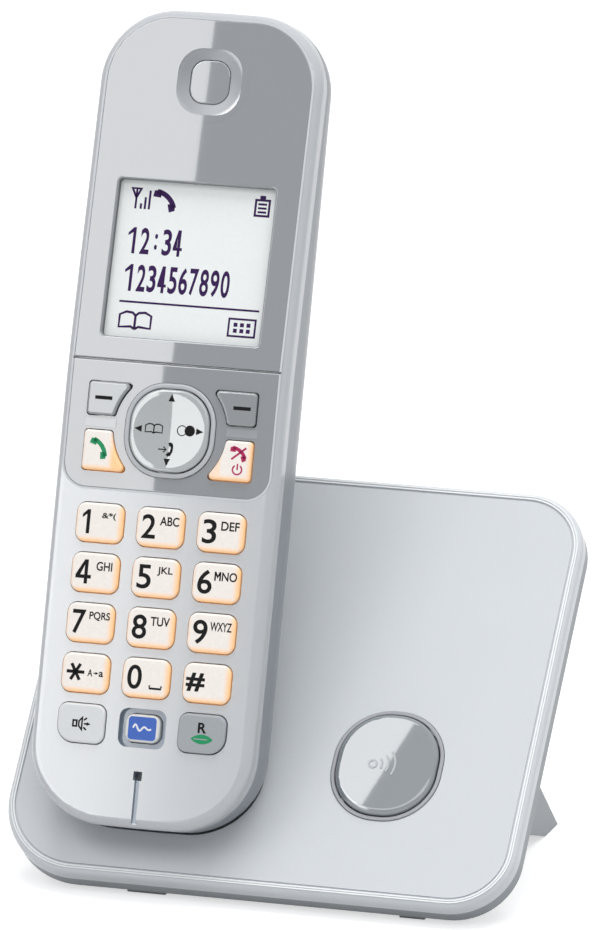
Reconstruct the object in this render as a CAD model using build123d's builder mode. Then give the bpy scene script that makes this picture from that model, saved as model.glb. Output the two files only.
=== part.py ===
from build123d import *
import math
import os

# Cordless phone: a handset standing in a leaning charging base.
# Millimetres, +Z up, the floor at Z = 0, the base's front towards -Y.
# The base is drawn on base_plane: X across, Y up the slope, Z out of its face.
# The handset is drawn on handset_plane: X across, Y up its length, Z out of its keypad.

# Base
base_lean = 41.7
base_width = 106.9
base_height = 92.3
base_corner = 13.0
base_left_corner = 16.5
face_height = 6.0
edge_round = 1.5
cover_depth = 3.2
rim_depth = 7.2
base_wall = 2.0
case_round = 1.2
case_inset = 0.1
groove_inset = 1.7
groove_width = 0.4
groove_depth = 0.3
bulge_inset = 7.6
bulge_depth = 16.0
bulge_low = 4.5
bulge_clear = 7.5
bulge_slope = 8.0
foot_flat = 2.5
foot_toe_up = -1.15
foot_root_up = 3.2
foot_left_inset = 30.7
foot_left_width = 8.0
foot_right_inset = 20.8
foot_right_width = 5.2
leg_inset = 11.3
leg_thick = 4.5
leg_back = 45.7
leg_toe = 39.7
leg_root = 23.7

# Page button on the base
page_share = 0.426
page_up = 27.8
page_ring_size = (22.6, 24.0)
page_ring_corner = 10.7
page_ring_wall = 0.8
page_ring_high = 0.35
page_ring_seat = 1.0
page_cap_high = 1.3
page_cap_round = 1.1
page_travel = 0.7

# Base electronics
base_board_gap = 5.45
base_board_clear = 1.2
base_board_low = 12.5
base_board_length = 60.0
base_board_level = -8.0
base_board_thick = 1.4
switch_size = 6.0
switch_plunger = 1.6
jack_depth = 14.0
jack_pitch = 13.0
line_socket_long = 9.7
line_socket_high = 6.6
power_jack_drop = 17.0
power_socket_long = 8.6
power_socket_high = 6.6
socket_deep = 11.0
jack_wall = 0.7
jack_gap = 0.1
antenna_wide = 1.6
antenna_long = 24.0
antenna_high = 4.0

# Handset
handset_lean = 17.9
handset_inset = 31.2
handset_up = 4.55
handset_out = 10.5
handset_length = 163.4
handset_width = 46.5
handset_thick = 22.5
top_corner = 15.0
bottom_corner = 16.0
end_crown = 0.8
rear_round = 13.0
front_round = 2.2
bend_rise = 13.2
bend_angle = 4.0
bend_blend = 9.0
face_squareness = 0.98
part_depth = 4.4
shell_wall = 2.0
front_wall = 2.8
panel_thick = 1.6
panel_gap = 0.12
cradle_gap = 0.5
cradle_wall = 1.8

# Handset face
panel_width = 43.2
panel_drop = 1.4
panel_corner = 13.4
panel_line = 0.2
panel_edge = 0.3
control_drop = 12.4
panel_low_corner = 5.0
window_width = 32.8
window_rise = 4.9
window_drop = 34.5
window_corner = 0.8
window_edge = 0.4
glass_margin = 1.2
glass_thick = 1.3
glass_gap = 0.15
tray_margin = 2.0
tray_thick = 2.6
dish_drop = 14.0
dish_width = 14.2
dish_depth = 0.9
dish_round = 5.0
pad_width = 8.2
pad_height = 8.8
pad_corner = 3.0
pad_gap = 0.1
pad_ledge = 1.0
pad_level = -0.35
speaker_size = 17.0

# Keys
key_gap = 0.2
key_high = 0.8
key_round = 0.5
key_travel = 0.5
key_rest = 0.25
flange_wide = 0.6
flange_thick = 0.5
flange_gap = 0.4
dial_pitch_x = 12.67
dial_gap_y = 2.185
dial_drop = 19.3
dial_width = 9.8
dial_corner = 1.9
corner_key_round = 3.4
function_up = 19.86
function_pitch = 12.6
badge_width = 7.2
badge_inset = 1.1
badge_corner = 1.7
badge_pocket = 1.5
badge_high = -0.1
nav_share = 0.4841
nav_ring_size = (18.8, 18.8)
nav_ring_corner = 8.0
nav_ring_wall = 1.0
nav_ring_high = 0.45
nav_high = 0.9
nav_dish_width = 14.8
nav_dish_depth = 0.3
side_key_outer = 17.6
side_key_clear = 11.9
side_key_corner = 0.8
soft_low_rise = 2.1
soft_high_rise = 8.8
call_low_drop = 8.9
call_high_drop = 0.9
mic_up = 10.4
mic_size = 1.8
mic_groove = 1.0
mic_groove_deep = 0.6
mic_body = 3.0
mic_thick = 1.4

# Handset inside
mat_thick = 1.0
dome_thick = 0.25
board_thick = 1.4
board_margin = 0.7
mat_margin = 0.25
mat_low = 7.0
board_low = 1.5
aerial_x = 10.0
aerial_long = 12.0
aerial_wide = 4.0
aerial_thick = 1.2
cell_radius = 5.25
cell_length = 44.5
cell_pitch = 11.0
cell_low = 36.0
cell_gap = 0.2
cell_end = 1.2
nub_long = 1.0
nub_radius = 2.0
strip_thick = 0.6
bay_wall = 1.1
bay_gap = 0.25
cover_thick = 1.2
battery_cover_width = 27.0
battery_cover_low = 33.0
battery_cover_high = 88.0
battery_cover_gap = 0.25
battery_cover_travel = 5.0
ringer_drop = 25.4
ringer_radius = 9.0
ringer_thick = 3.4
ringer_hole = 0.8
ringer_pitch = 3.2
terminal_x = 8.5
terminal_width = 3.6
terminal_depth = 14.6
terminal_deep = 1.2
terminal_low = 1.45
terminal_long = 3.0
terminal_gap = 0.1
contact_width = 2.6
contact_thick = 0.9
contact_rest = 0.55
contact_low = -1.6
contact_travel = 0.8
contact_side = 0.15

# Screws
screw_radius = 1.1
screw_head = 2.0
screw_head_thick = 1.2
screw_boss = 2.2
screw_gap = 0.08
screw_length = 2.8
base_screw_inset = 4.7
base_screw_low = 14.0
base_screw_high = 77.0

# Places that follow from these sizes
half_base = base_width / 2
bulge_width = base_width - 2 * bulge_inset
bulge_high = base_board_low + base_board_length + bulge_clear
power_jack_up = bulge_high - power_jack_drop
line_jack_up = power_jack_up - jack_pitch
foot_left_x = foot_left_inset - half_base
foot_right_x = half_base - foot_right_inset
leg_outer_x = half_base - leg_inset
base_screw_x = half_base - base_screw_inset
handset_x = handset_inset - half_base
handset_edge = handset_x + handset_width / 2
page_x = handset_edge + page_share * (half_base - handset_edge)
case_inner = bulge_width / 2 - base_wall
jack_face = case_inner - jack_gap
base_board_left = handset_edge + base_board_gap
base_board_width = jack_face - jack_depth - base_board_clear - base_board_left
nav_up = nav_share * handset_length
bend_up = nav_up + bend_rise
panel_top = handset_length - panel_drop
panel_bottom = nav_up - control_drop
window_low = bend_up + window_rise
window_high = handset_length - window_drop
dish_up = handset_length - dish_drop
ringer_up = handset_length - ringer_drop
dial_top = nav_up - dial_drop
dial_pitch_y = (dial_top - function_up) / 4
dial_height = dial_pitch_y - dial_gap_y
badge_height = dial_height - 2 * badge_inset
soft_low = nav_up + soft_low_rise
soft_high = nav_up + soft_high_rise
call_low = nav_up - call_low_drop
call_high = nav_up - call_high_drop

# Planes
base_sin = math.sin(math.radians(base_lean))
base_cos = math.cos(math.radians(base_lean))
hand_sin = math.sin(math.radians(handset_lean))
hand_cos = math.cos(math.radians(handset_lean))
bend_sin = math.sin(math.radians(bend_angle))
bend_cos = math.cos(math.radians(bend_angle))
bend_half = math.tan(math.radians(bend_angle / 2))


def floor_level(up):
    """Height over the base's face, below zero, at which a line square to it meets the floor."""
    return -(face_height + up * base_cos) / base_sin


leg_reach = leg_back * base_sin - floor_level(leg_back) * base_cos
chin_reach = handset_up * base_sin - handset_out * base_cos
chin_reach = chin_reach + front_round * (hand_sin + hand_cos - 1)
base_middle = (leg_reach + chin_reach) / 2
base_plane = Plane(
    origin=(0, -base_middle, face_height),
    x_dir=(1, 0, 0),
    z_dir=(0, -base_cos, base_sin),
)
base_side = Plane(origin=base_plane.origin, x_dir=base_plane.y_dir, z_dir=(1, 0, 0))
handset_origin = base_plane.from_local_coords((handset_x, handset_up, handset_out))
handset_plane = Plane(origin=handset_origin, x_dir=(1, 0, 0), z_dir=(0, -hand_cos, hand_sin))
handset_side = Plane(origin=handset_origin, x_dir=handset_plane.y_dir, z_dir=(1, 0, 0))
display_lean = math.radians(handset_lean + bend_angle)
display_plane = Plane(
    origin=handset_plane.from_local_coords((0, bend_up, 0)),
    x_dir=(1, 0, 0),
    z_dir=(0, -math.cos(display_lean), math.sin(display_lean)),
)
handset_out_axis = Axis(handset_plane.origin, handset_plane.z_dir)
base_out_axis = Axis(base_plane.origin, base_plane.z_dir)
display_out_axis = Axis(display_plane.origin, display_plane.z_dir)
far = handset_length

os.makedirs("parts", exist_ok=True)


def save(piece, name):
    """Labels a finished piece and writes it as one file."""
    piece.label = name
    export_step(piece, f"parts/{name}.step")


# Handset envelope
def handset_solid(grow, front_grow):
    """The handset's outer form, grown by one distance all round and by another at its face."""
    half = handset_width / 2 + grow
    top = handset_length + grow
    low = -grow
    corner = (bend_up + front_grow * bend_half, front_grow)
    with BuildPart() as solid:
        with BuildSketch(handset_side):
            with BuildLine():
                start = (corner[0] - bend_blend, corner[1])
                end = (corner[0] + bend_blend * bend_cos, corner[1] - bend_blend * bend_sin)
                high = (corner[0] + far * bend_cos, corner[1] - far * bend_sin)
                rear = -handset_thick - grow
                Line((-far, front_grow), start)
                TangentArc(start, end, tangent=(1, 0))
                Polyline(end, high, (high[0], rear), (-far, rear), (-far, front_grow))
            make_face()
        extrude(amount=far, both=True)
        with BuildSketch(handset_plane.offset(far)):
            with BuildLine():
                Line((-half, low + end_crown), (-half, top - end_crown))
                ThreePointArc((-half, top - end_crown), (0, top), (half, top - end_crown))
                Line((half, top - end_crown), (half, low + end_crown))
                ThreePointArc((half, low + end_crown), (0, low), (-half, low + end_crown))
            make_face()
            ends = vertices().sort_by(Axis.Y)
            fillet(ends[2:], radius=top_corner + grow)
            fillet(vertices().sort_by(Axis.Y)[:2], radius=bottom_corner + grow)
        extrude(amount=-2 * far, mode=Mode.INTERSECT)
        fillet(solid.faces().sort_by(handset_out_axis)[0].edges(), radius=rear_round + grow)
        fronts = solid.faces().filter_by(
            lambda face: face.normal_at().dot(handset_plane.z_dir) > face_squareness
        )
        fillet(fronts.edges().filter_by(Axis.X, reverse=True), radius=front_round + grow)
    return solid.part


def front_region():
    """All that lies in front of the surface where the handset's two housings meet."""
    corner = (bend_up - part_depth * bend_half, -part_depth)
    high = (corner[0] + far * bend_cos, corner[1] - far * bend_sin)
    with BuildPart() as region:
        with BuildSketch(handset_side):
            Polygon((-far, -part_depth), corner, high, (high[0], far), (-far, far), align=None)
        extrude(amount=far, both=True)
    return region.part


def slab(plane, top, depth, centre, size, corner=0, mode=Mode.ADD):
    """A block with its top face at a level over a plane, and its upright edges rounded if asked."""
    with BuildSketch(plane.offset(top)) as face:
        with Locations(centre):
            if corner:
                RectangleRounded(*size, corner)
            else:
                Rectangle(*size)
    extrude(face.sketch, amount=-depth, mode=mode)


def disc(plane, top, depth, centres, radius, mode=Mode.ADD):
    """Round blocks with their top faces at a level over a plane."""
    with BuildSketch(plane.offset(top)) as face:
        with Locations(*centres):
            Circle(radius)
    extrude(face.sketch, amount=-depth, mode=mode)


def hollow(plane, centre, top, width, depth):
    """Sinks a round dish of a given width and depth into a face at a level over a plane."""
    radius = (width**2 / 4 + depth**2) / (2 * depth)
    with Locations(plane.from_local_coords((*centre, top + radius - depth))):
        Sphere(radius, mode=Mode.SUBTRACT)


# Outlines on the handset's face
def lens_outline(grow):
    """The display panel, drawn on the display plane, square at its lower end."""
    top = (panel_top - bend_up) + grow
    low = panel_line - grow
    with BuildSketch() as outline:
        with Locations((0, (top + low) / 2)):
            Rectangle(panel_width + 2 * grow, top - low)
        fillet(outline.vertices().group_by(Axis.Y)[-1], radius=panel_corner + grow)
    return outline.sketch


def control_outline(grow):
    """The control panel, square at its upper end."""
    top = bend_up - panel_line / 2 + grow
    low = panel_bottom - grow
    with BuildSketch() as outline:
        with Locations((0, (top + low) / 2)):
            Rectangle(panel_width + 2 * grow, top - low)
        fillet(outline.vertices().group_by(Axis.Y)[0], radius=panel_low_corner + grow)
    return outline.sketch


def dial_face(spot, grow):
    """A dial key's outline."""
    with BuildSketch() as face:
        with Locations(spot):
            RectangleRounded(dial_width + 2 * grow, dial_height + 2 * grow, dial_corner + grow)
    return face.sketch


def corner_face(side, grow):
    """A key of the lowest row, with its outer lower corner rounder than the rest."""
    with BuildSketch() as face:
        with Locations((side * function_pitch, function_up)):
            Rectangle(dial_width + 2 * grow, dial_height + 2 * grow)
        low_end = (side * handset_width, 0)
        fillet(face.vertices().sort_by_distance(low_end)[1:], radius=dial_corner + grow)
        fillet(face.vertices().sort_by_distance(low_end)[:1], radius=corner_key_round + grow)
    return face.sketch


def side_face(side, low, high, grow):
    """A key beside the navigation key, cut to run round it."""
    with BuildSketch() as face:
        with Locations((side * side_key_outer / 2, (low + high) / 2)):
            Rectangle(side_key_outer + 2 * grow, high - low + 2 * grow)
        with Locations((0, nav_up)):
            Circle(side_key_clear - grow, mode=Mode.SUBTRACT)
        fillet(face.vertices(), radius=side_key_corner)
    return face.sketch


def squircle(centre, size, corner, grow):
    """A rounded square, or nearly one."""
    with BuildSketch() as face:
        with Locations(centre):
            RectangleRounded(size[0] + 2 * grow, size[1] + 2 * grow, corner + grow)
    return face.sketch


def badge_face(grow):
    """The small key in the middle of the lowest row."""
    with BuildSketch() as face:
        with Locations((0, function_up)):
            RectangleRounded(badge_width + 2 * grow, badge_height + 2 * grow, badge_corner + grow)
    return face.sketch


# Keys: each has an outline that can be grown, and the height of its top
nav_key_inset = nav_ring_wall + key_gap
dial_names = ["1", "2", "3", "4", "5", "6", "7", "8", "9", "star", "0", "hash"]
key_faces = {}
for index, dial_name in enumerate(dial_names):
    dial_spot = ((index % 3 - 1) * dial_pitch_x, dial_top - index // 3 * dial_pitch_y)
    key_faces[f"key_{dial_name}"] = lambda grow, spot=dial_spot: dial_face(spot, grow)
key_faces["speaker_key"] = lambda grow: corner_face(-1, grow)
key_faces["recall_key"] = lambda grow: corner_face(1, grow)
key_faces["centre_key"] = badge_face
key_faces["soft_key_left"] = lambda grow: side_face(-1, soft_low, soft_high, grow)
key_faces["soft_key_right"] = lambda grow: side_face(1, soft_low, soft_high, grow)
key_faces["talk_key"] = lambda grow: side_face(-1, call_low, call_high, grow)
key_faces["off_key"] = lambda grow: side_face(1, call_low, call_high, grow)
key_faces["nav_key"] = lambda grow: squircle(
    (0, nav_up), nav_ring_size, nav_ring_corner, grow - nav_key_inset
)
key_tops = {"centre_key": badge_high, "nav_key": nav_high}
panel_keys = ["soft_key_left", "soft_key_right", "talk_key", "off_key"]

flange_top = -front_wall - flange_gap
for key_name, key_face in key_faces.items():
    cap_face = key_face(0)
    flange_face = key_face(flange_wide)
    cap_top = key_tops.get(key_name, key_high)
    with BuildPart() as key:
        with BuildSketch(handset_plane.offset(flange_top)):
            add(cap_face)
        extrude(amount=cap_top - flange_top)
        fillet(key.faces().sort_by(handset_out_axis)[-1].edges(), radius=key_round)
        if key_name == "nav_key":
            hollow(handset_plane, (0, nav_up), nav_high, nav_dish_width, nav_dish_depth)
        with BuildSketch(handset_plane.offset(flange_top)):
            add(flange_face)
        extrude(amount=-flange_thick)
    save(key.part, key_name)

# Navigation ring, seated in the control panel
ring_outer = squircle((0, nav_up), nav_ring_size, nav_ring_corner, 0)
ring_inner = squircle((0, nav_up), nav_ring_size, nav_ring_corner, -nav_ring_wall)
with BuildPart() as nav_ring:
    with BuildSketch(handset_plane.offset(-panel_thick)):
        add(ring_outer)
        add(ring_inner, mode=Mode.SUBTRACT)
    extrude(amount=panel_thick + nav_ring_high)
    fillet(nav_ring.faces().sort_by(handset_out_axis)[-1].edges(), radius=nav_ring_wall / 3)
save(nav_ring.part, "nav_ring")

# Handset housings
handset_body = handset_solid(0, 0)
handset_cavity = handset_solid(-shell_wall, -front_wall)
front_side = front_region()
lens_hole = lens_outline(panel_gap)
control_hole = control_outline(panel_gap)
key_holes = [key_face(key_gap) for key_face in key_faces.values()]
window_middle = (0, (window_low + window_high) / 2 - bend_up)
window_size = (window_width, window_high - window_low)
glass_size = (window_width + 2 * glass_margin, window_high - window_low + 2 * glass_margin)
glass_hole = (glass_size[0] + 2 * glass_gap, glass_size[1] + 2 * glass_gap)
pad_middle = (0, dish_up - bend_up)
pad_size = (pad_width, pad_height)
pad_sound = (pad_width - 2 * pad_ledge, pad_height - 2 * pad_ledge)
with BuildPart() as front_housing:
    add(handset_body)
    add(handset_cavity, mode=Mode.SUBTRACT)
    add(front_side, mode=Mode.INTERSECT)
    with BuildSketch(display_plane.offset(front_wall)):
        add(lens_hole)
    extrude(amount=-front_wall - panel_thick, mode=Mode.SUBTRACT)
    with BuildSketch(handset_plane.offset(front_wall)):
        add(control_hole)
    extrude(amount=-front_wall - panel_thick, mode=Mode.SUBTRACT)
    for key_hole in key_holes:
        with BuildSketch(handset_plane.offset(front_wall)):
            add(key_hole)
        extrude(amount=-3 * front_wall, mode=Mode.SUBTRACT)
    slab(handset_plane, front_wall, front_wall + badge_pocket, (0, function_up),
         (dial_width, dial_height), dial_corner, Mode.SUBTRACT)
    slab(display_plane, 0, 2 * front_wall, window_middle, glass_hole, window_corner, Mode.SUBTRACT)
    slab(display_plane, 0, 2 * front_wall, pad_middle, pad_sound, pad_corner - pad_ledge, Mode.SUBTRACT)
    slab(handset_plane, front_wall, 3 * front_wall, (0, mic_up), (mic_size, mic_size), 0, Mode.SUBTRACT)
    slab(handset_plane, front_wall, front_wall + mic_groove_deep, (0, mic_up / 2 - mic_up),
         (mic_groove, 3 * mic_up), 0, Mode.SUBTRACT)
save(front_housing.part, "front_housing")

cover_level = -handset_thick + cover_thick
cover_middle = (0, (battery_cover_low + battery_cover_high) / 2)
cover_size = (battery_cover_width, battery_cover_high - battery_cover_low)
recess_low = battery_cover_low - battery_cover_travel - battery_cover_gap
recess_high = battery_cover_high + battery_cover_gap
recess_middle = (0, (recess_low + recess_high) / 2)
recess_size = (battery_cover_width + 2 * battery_cover_gap, recess_high - recess_low)
bay_width = cell_pitch + 2 * cell_radius + 2 * cell_gap
bay_length = cell_length + 2 * cell_end
bay_middle = (0, cell_low + cell_length / 2)
cell_level = cover_level + cell_gap + cell_radius
terminal_spots = [(side * terminal_x, terminal_low + terminal_long / 2) for side in (-1, 1)]
slot_long = 2 * terminal_low + terminal_long
with BuildPart() as rear_housing:
    add(handset_body)
    add(handset_cavity, mode=Mode.SUBTRACT)
    add(front_side, mode=Mode.SUBTRACT)
    slab(handset_plane, cover_level, handset_thick, recess_middle, recess_size, 0, Mode.SUBTRACT)
    slab(handset_plane, cover_level + shell_wall, handset_thick, bay_middle,
         (bay_width, bay_length), 0, Mode.SUBTRACT)
    for terminal_spot in terminal_spots:
        slab(handset_plane, terminal_gap - terminal_depth, terminal_deep + 2 * terminal_gap,
             (terminal_spot[0], terminal_low + terminal_long + terminal_gap - slot_long / 2),
             (terminal_width + 2 * terminal_gap, slot_long), 0, Mode.SUBTRACT)
    with BuildSketch(handset_plane.offset(-handset_thick)):
        with Locations((0, ringer_up)):
            with HexLocations(ringer_pitch / 2, 3, 3):
                Circle(ringer_hole)
    extrude(amount=2 * shell_wall, mode=Mode.SUBTRACT)
save(rear_housing.part, "rear_housing")

# Battery bay, cells and cover
with BuildPart() as battery_cover:
    add(handset_body)
    slab(handset_plane, cover_level, handset_thick, cover_middle, cover_size, 0, Mode.INTERSECT)
save(battery_cover.part, "battery_cover")

bay_top = cell_level + cell_radius + cell_gap + bay_wall
bay_floor = -handset_thick + shell_wall
with BuildPart() as battery_bay:
    slab(handset_plane, bay_top, bay_top - bay_floor - bay_gap, bay_middle,
         (bay_width + 2 * bay_wall, bay_length + 2 * bay_wall))
    slab(handset_plane, bay_top - bay_wall, handset_thick, bay_middle,
         (bay_width, bay_length), 0, Mode.SUBTRACT)
save(battery_bay.part, "battery_bay")

with BuildPart() as battery_cells:
    for side in (-1, 1):
        cell_plane = Plane(
            origin=handset_plane.from_local_coords((side * cell_pitch / 2, cell_low, cell_level)),
            x_dir=(1, 0, 0),
            z_dir=handset_plane.y_dir,
        )
        with BuildSketch(cell_plane):
            Circle(cell_radius)
        extrude(amount=cell_length - nub_long)
        with BuildSketch(cell_plane):
            Circle(nub_radius)
        extrude(amount=cell_length)
save(battery_cells.part, "battery_cells")

with BuildPart() as battery_contacts:
    for end_up in (cell_low - cell_end / 2, cell_low + cell_length + cell_end / 2):
        slab(handset_plane, cell_level + cell_radius / 2, cell_radius, (0, end_up),
             (bay_width - 2 * cell_gap, strip_thick))
save(battery_contacts.part, "battery_contacts")

with BuildPart() as charge_terminals:
    for terminal_spot in terminal_spots:
        slab(handset_plane, -terminal_depth, terminal_deep, terminal_spot, (terminal_width, terminal_long))
save(charge_terminals.part, "charge_terminals")

# Display, earpiece and panels
lens_face = lens_outline(0)
control_face = control_outline(0)
with BuildPart() as display_panel:
    with BuildSketch(display_plane):
        add(lens_face)
    extrude(amount=-panel_thick)
    top_face = display_panel.faces().sort_by(display_out_axis)[-1]
    fillet(top_face.edges(), radius=panel_edge)
    slab(display_plane, 0, 2 * panel_thick, window_middle, window_size, window_corner, Mode.SUBTRACT)
    top_face = display_panel.faces().sort_by(display_out_axis)[-1]
    fillet(top_face.inner_wires().edges(), radius=window_edge)
    hollow(display_plane, pad_middle, 0, dish_width, dish_depth)
    dish_edge = display_panel.edges().sort_by_distance(display_plane.from_local_coords((*pad_middle, 0)))[0]
    fillet(dish_edge, radius=dish_round)
    slab(display_plane, 0, 2 * panel_thick, pad_middle,
         (pad_width + 2 * pad_gap, pad_height + 2 * pad_gap), pad_corner + pad_gap, Mode.SUBTRACT)
save(display_panel.part, "display_panel")

nav_seat = squircle((0, nav_up), nav_ring_size, nav_ring_corner, panel_gap)
panel_holes = [key_faces[key_name](key_gap) for key_name in panel_keys]
with BuildPart() as control_panel:
    with BuildSketch(handset_plane):
        add(control_face)
    extrude(amount=-panel_thick)
    fillet(control_panel.faces().sort_by(handset_out_axis)[-1].edges(), radius=panel_edge)
    for panel_hole in (nav_seat, *panel_holes):
        with BuildSketch(handset_plane):
            add(panel_hole)
        extrude(amount=-2 * panel_thick, mode=Mode.SUBTRACT)
save(control_panel.part, "control_panel")

with BuildPart() as earpiece_pad:
    slab(display_plane, pad_level, panel_thick + pad_level, pad_middle, pad_size, pad_corner)
    fillet(earpiece_pad.faces().sort_by(display_out_axis)[-1].edges(), radius=panel_edge)
save(earpiece_pad.part, "earpiece_pad")

glass_top = -panel_thick - glass_gap
with BuildPart() as display_glass:
    slab(display_plane, glass_top, glass_thick, window_middle, glass_size, window_corner)
save(display_glass.part, "display_glass")

tray_top = glass_top - glass_thick
with BuildPart() as display_tray:
    slab(display_plane, tray_top, tray_thick, window_middle,
         (glass_size[0] + 2 * tray_margin, glass_size[1] + 2 * tray_margin))
save(display_tray.part, "display_tray")

board_top = tray_top - tray_thick
speaker_top = -front_wall - glass_gap
with BuildPart() as earpiece_speaker:
    disc(display_plane, speaker_top, speaker_top - board_top, [pad_middle], speaker_size / 2)
save(earpiece_speaker.part, "earpiece_speaker")

inner_width = handset_width - 2 * shell_wall
board_high = panel_top - bend_up - shell_wall
with BuildPart() as main_board:
    with BuildSketch(display_plane.offset(board_top)):
        with Locations((0, (board_low + board_high) / 2)):
            main_face = Rectangle(inner_width - 2 * board_margin, board_high - board_low)
        fillet(main_face.vertices().group_by(Axis.Y)[-1], radius=top_corner)
    extrude(amount=-board_thick)
save(main_board.part, "main_board")

with BuildPart() as handset_antenna:
    slab(display_plane, board_top - board_thick, aerial_thick,
         (aerial_x, board_high - aerial_wide), (aerial_long, aerial_wide))
save(handset_antenna.part, "handset_antenna")

with BuildPart() as ringer_speaker:
    disc(handset_plane, bay_floor + ringer_thick, ringer_thick, [(0, ringer_up)], ringer_radius)
save(ringer_speaker.part, "ringer_speaker")

# Keypad: mat, dome sheet and board
mat_top = flange_top - flange_thick - key_travel - key_rest
keypad_layers = [
    ("keypad_mat", mat_top, mat_thick, mat_margin),
    ("dome_sheet", mat_top - mat_thick, dome_thick, board_margin),
    ("keypad_board", mat_top - mat_thick - dome_thick, board_thick, board_margin),
]
for layer_name, layer_top, layer_thick, layer_margin in keypad_layers:
    layer_low = mat_low + layer_margin
    layer_high = bend_up - board_low - layer_margin
    with BuildPart() as layer:
        with BuildSketch(handset_plane.offset(layer_top)):
            with Locations((0, (layer_low + layer_high) / 2)):
                layer_face = Rectangle(inner_width - 2 * layer_margin, layer_high - layer_low)
            fillet(layer_face.vertices().group_by(Axis.Y)[0], radius=bottom_corner - shell_wall)
        extrude(amount=-layer_thick)
    save(layer.part, layer_name)

with BuildPart() as microphone:
    disc(handset_plane, -front_wall - glass_gap, mic_thick, [(0, mic_up)], mic_body)
save(microphone.part, "microphone")

# Base front cover with its cradle
base_centre = (0, base_height / 2 - edge_round)


def plate_outline(inset):
    """The plate's outline, drawn in from its edge, rounder on the handset's side."""
    with BuildSketch() as outline:
        with Locations(base_centre):
            Rectangle(base_width - 2 * inset, base_height - 2 * inset)
        fillet(outline.vertices().group_by(Axis.X)[0], radius=base_left_corner - inset)
        fillet(outline.vertices().group_by(Axis.X)[-1], radius=base_corner - inset)
    return outline.sketch


def plate_slab(top, depth, inset, mode=Mode.ADD):
    """A block of the plate's outline with its top face at a level over the base's face."""
    outline = plate_outline(inset)
    with BuildSketch(base_plane.offset(top)) as face:
        add(outline)
    extrude(face.sketch, amount=-depth, mode=mode)


pocket = handset_solid(cradle_gap, cradle_gap)
well_body = handset_solid(cradle_gap + cradle_wall, cradle_gap + cradle_wall)
with BuildPart() as well:
    add(well_body)
    slab(base_plane, -base_wall / 2, bulge_depth, base_centre, (base_width, base_height), 0, Mode.INTERSECT)


groove_outer = plate_outline(groove_inset)
groove_inner = plate_outline(groove_inset + groove_width)
page_spot = (page_x, page_up)
page_seat = squircle(page_spot, page_ring_size, page_ring_corner, panel_gap)
page_bore = squircle(page_spot, page_ring_size, page_ring_corner, key_gap - page_ring_wall)
screw_spots = [(side * base_screw_x, up) for side in (-1, 1) for up in (base_screw_low, base_screw_high)]
contact_top = terminal_low - contact_rest
contact_level = -terminal_depth - (terminal_deep - contact_thick) / 2
contact_length = contact_top - contact_low
contact_slot_long = contact_length + 2 * contact_travel
with BuildPart() as base_front_cover:
    plate_slab(0, cover_depth, 0)
    fillet(base_front_cover.faces().sort_by(base_out_axis)[-1].edges(), radius=edge_round)
    plate_slab(-base_wall, cover_depth, base_wall, Mode.SUBTRACT)
    with BuildSketch(base_plane):
        add(groove_outer)
        add(groove_inner, mode=Mode.SUBTRACT)
    extrude(amount=-groove_depth, mode=Mode.SUBTRACT)
    add(well.part)
    add(pocket, mode=Mode.SUBTRACT)
    with BuildSketch(base_plane):
        add(page_seat)
    extrude(amount=-page_ring_seat, mode=Mode.SUBTRACT)
    with BuildSketch(base_plane):
        add(page_bore)
    extrude(amount=-2 * base_wall, mode=Mode.SUBTRACT)
    disc(base_plane, -base_wall, rim_depth - 2 * base_wall, screw_spots, screw_boss)
    disc(base_plane, -base_wall, rim_depth, screw_spots, screw_radius + screw_gap, Mode.SUBTRACT)
    for terminal_spot in terminal_spots:
        slab(handset_plane, contact_level + contact_side, contact_thick + 2 * contact_side,
             (terminal_spot[0], (contact_low + contact_top) / 2),
             (contact_width + 2 * contact_side, contact_slot_long), 0, Mode.SUBTRACT)
save(base_front_cover.part, "base_front_cover")

for side_name, terminal_spot in zip(("left", "right"), terminal_spots):
    with BuildPart() as charge_contact:
        slab(handset_plane, contact_level, contact_thick,
             (terminal_spot[0], (contact_low + contact_top) / 2), (contact_width, contact_length))
    save(charge_contact.part, f"charge_contact_{side_name}")

# Page button, its ring and its switch
page_ring_inner = squircle(page_spot, page_ring_size, page_ring_corner, -page_ring_wall)
page_ring_outer = squircle(page_spot, page_ring_size, page_ring_corner, 0)
with BuildPart() as page_ring:
    with BuildSketch(base_plane.offset(-page_ring_seat)):
        add(page_ring_outer)
        add(page_ring_inner, mode=Mode.SUBTRACT)
    extrude(amount=page_ring_seat + page_ring_high)
    fillet(page_ring.faces().sort_by(base_out_axis)[-1].edges(), radius=page_ring_wall / 3)
save(page_ring.part, "page_ring")

page_face = squircle(page_spot, page_ring_size, page_ring_corner, -page_ring_wall - key_gap)
page_flange = squircle(page_spot, page_ring_size, page_ring_corner, flange_wide - page_ring_wall)
page_level = -base_wall - flange_gap
with BuildPart() as page_button:
    with BuildSketch(base_plane.offset(page_level)):
        add(page_face)
    extrude(amount=page_cap_high - page_level)
    fillet(page_button.faces().sort_by(base_out_axis)[-1].edges(), radius=page_cap_round)
    with BuildSketch(base_plane.offset(page_level)):
        add(page_flange)
    extrude(amount=-flange_thick)
save(page_button.part, "page_button")

plunger_top = page_level - flange_thick - page_travel - key_rest
switch_top = plunger_top - switch_plunger / 4
with BuildPart() as page_switch:
    slab(base_plane, switch_top, switch_top - base_board_level, page_spot, (switch_size, switch_size))
    disc(base_plane, plunger_top, plunger_top - base_board_level, [page_spot], switch_plunger)
save(page_switch.part, "page_switch")

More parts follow.
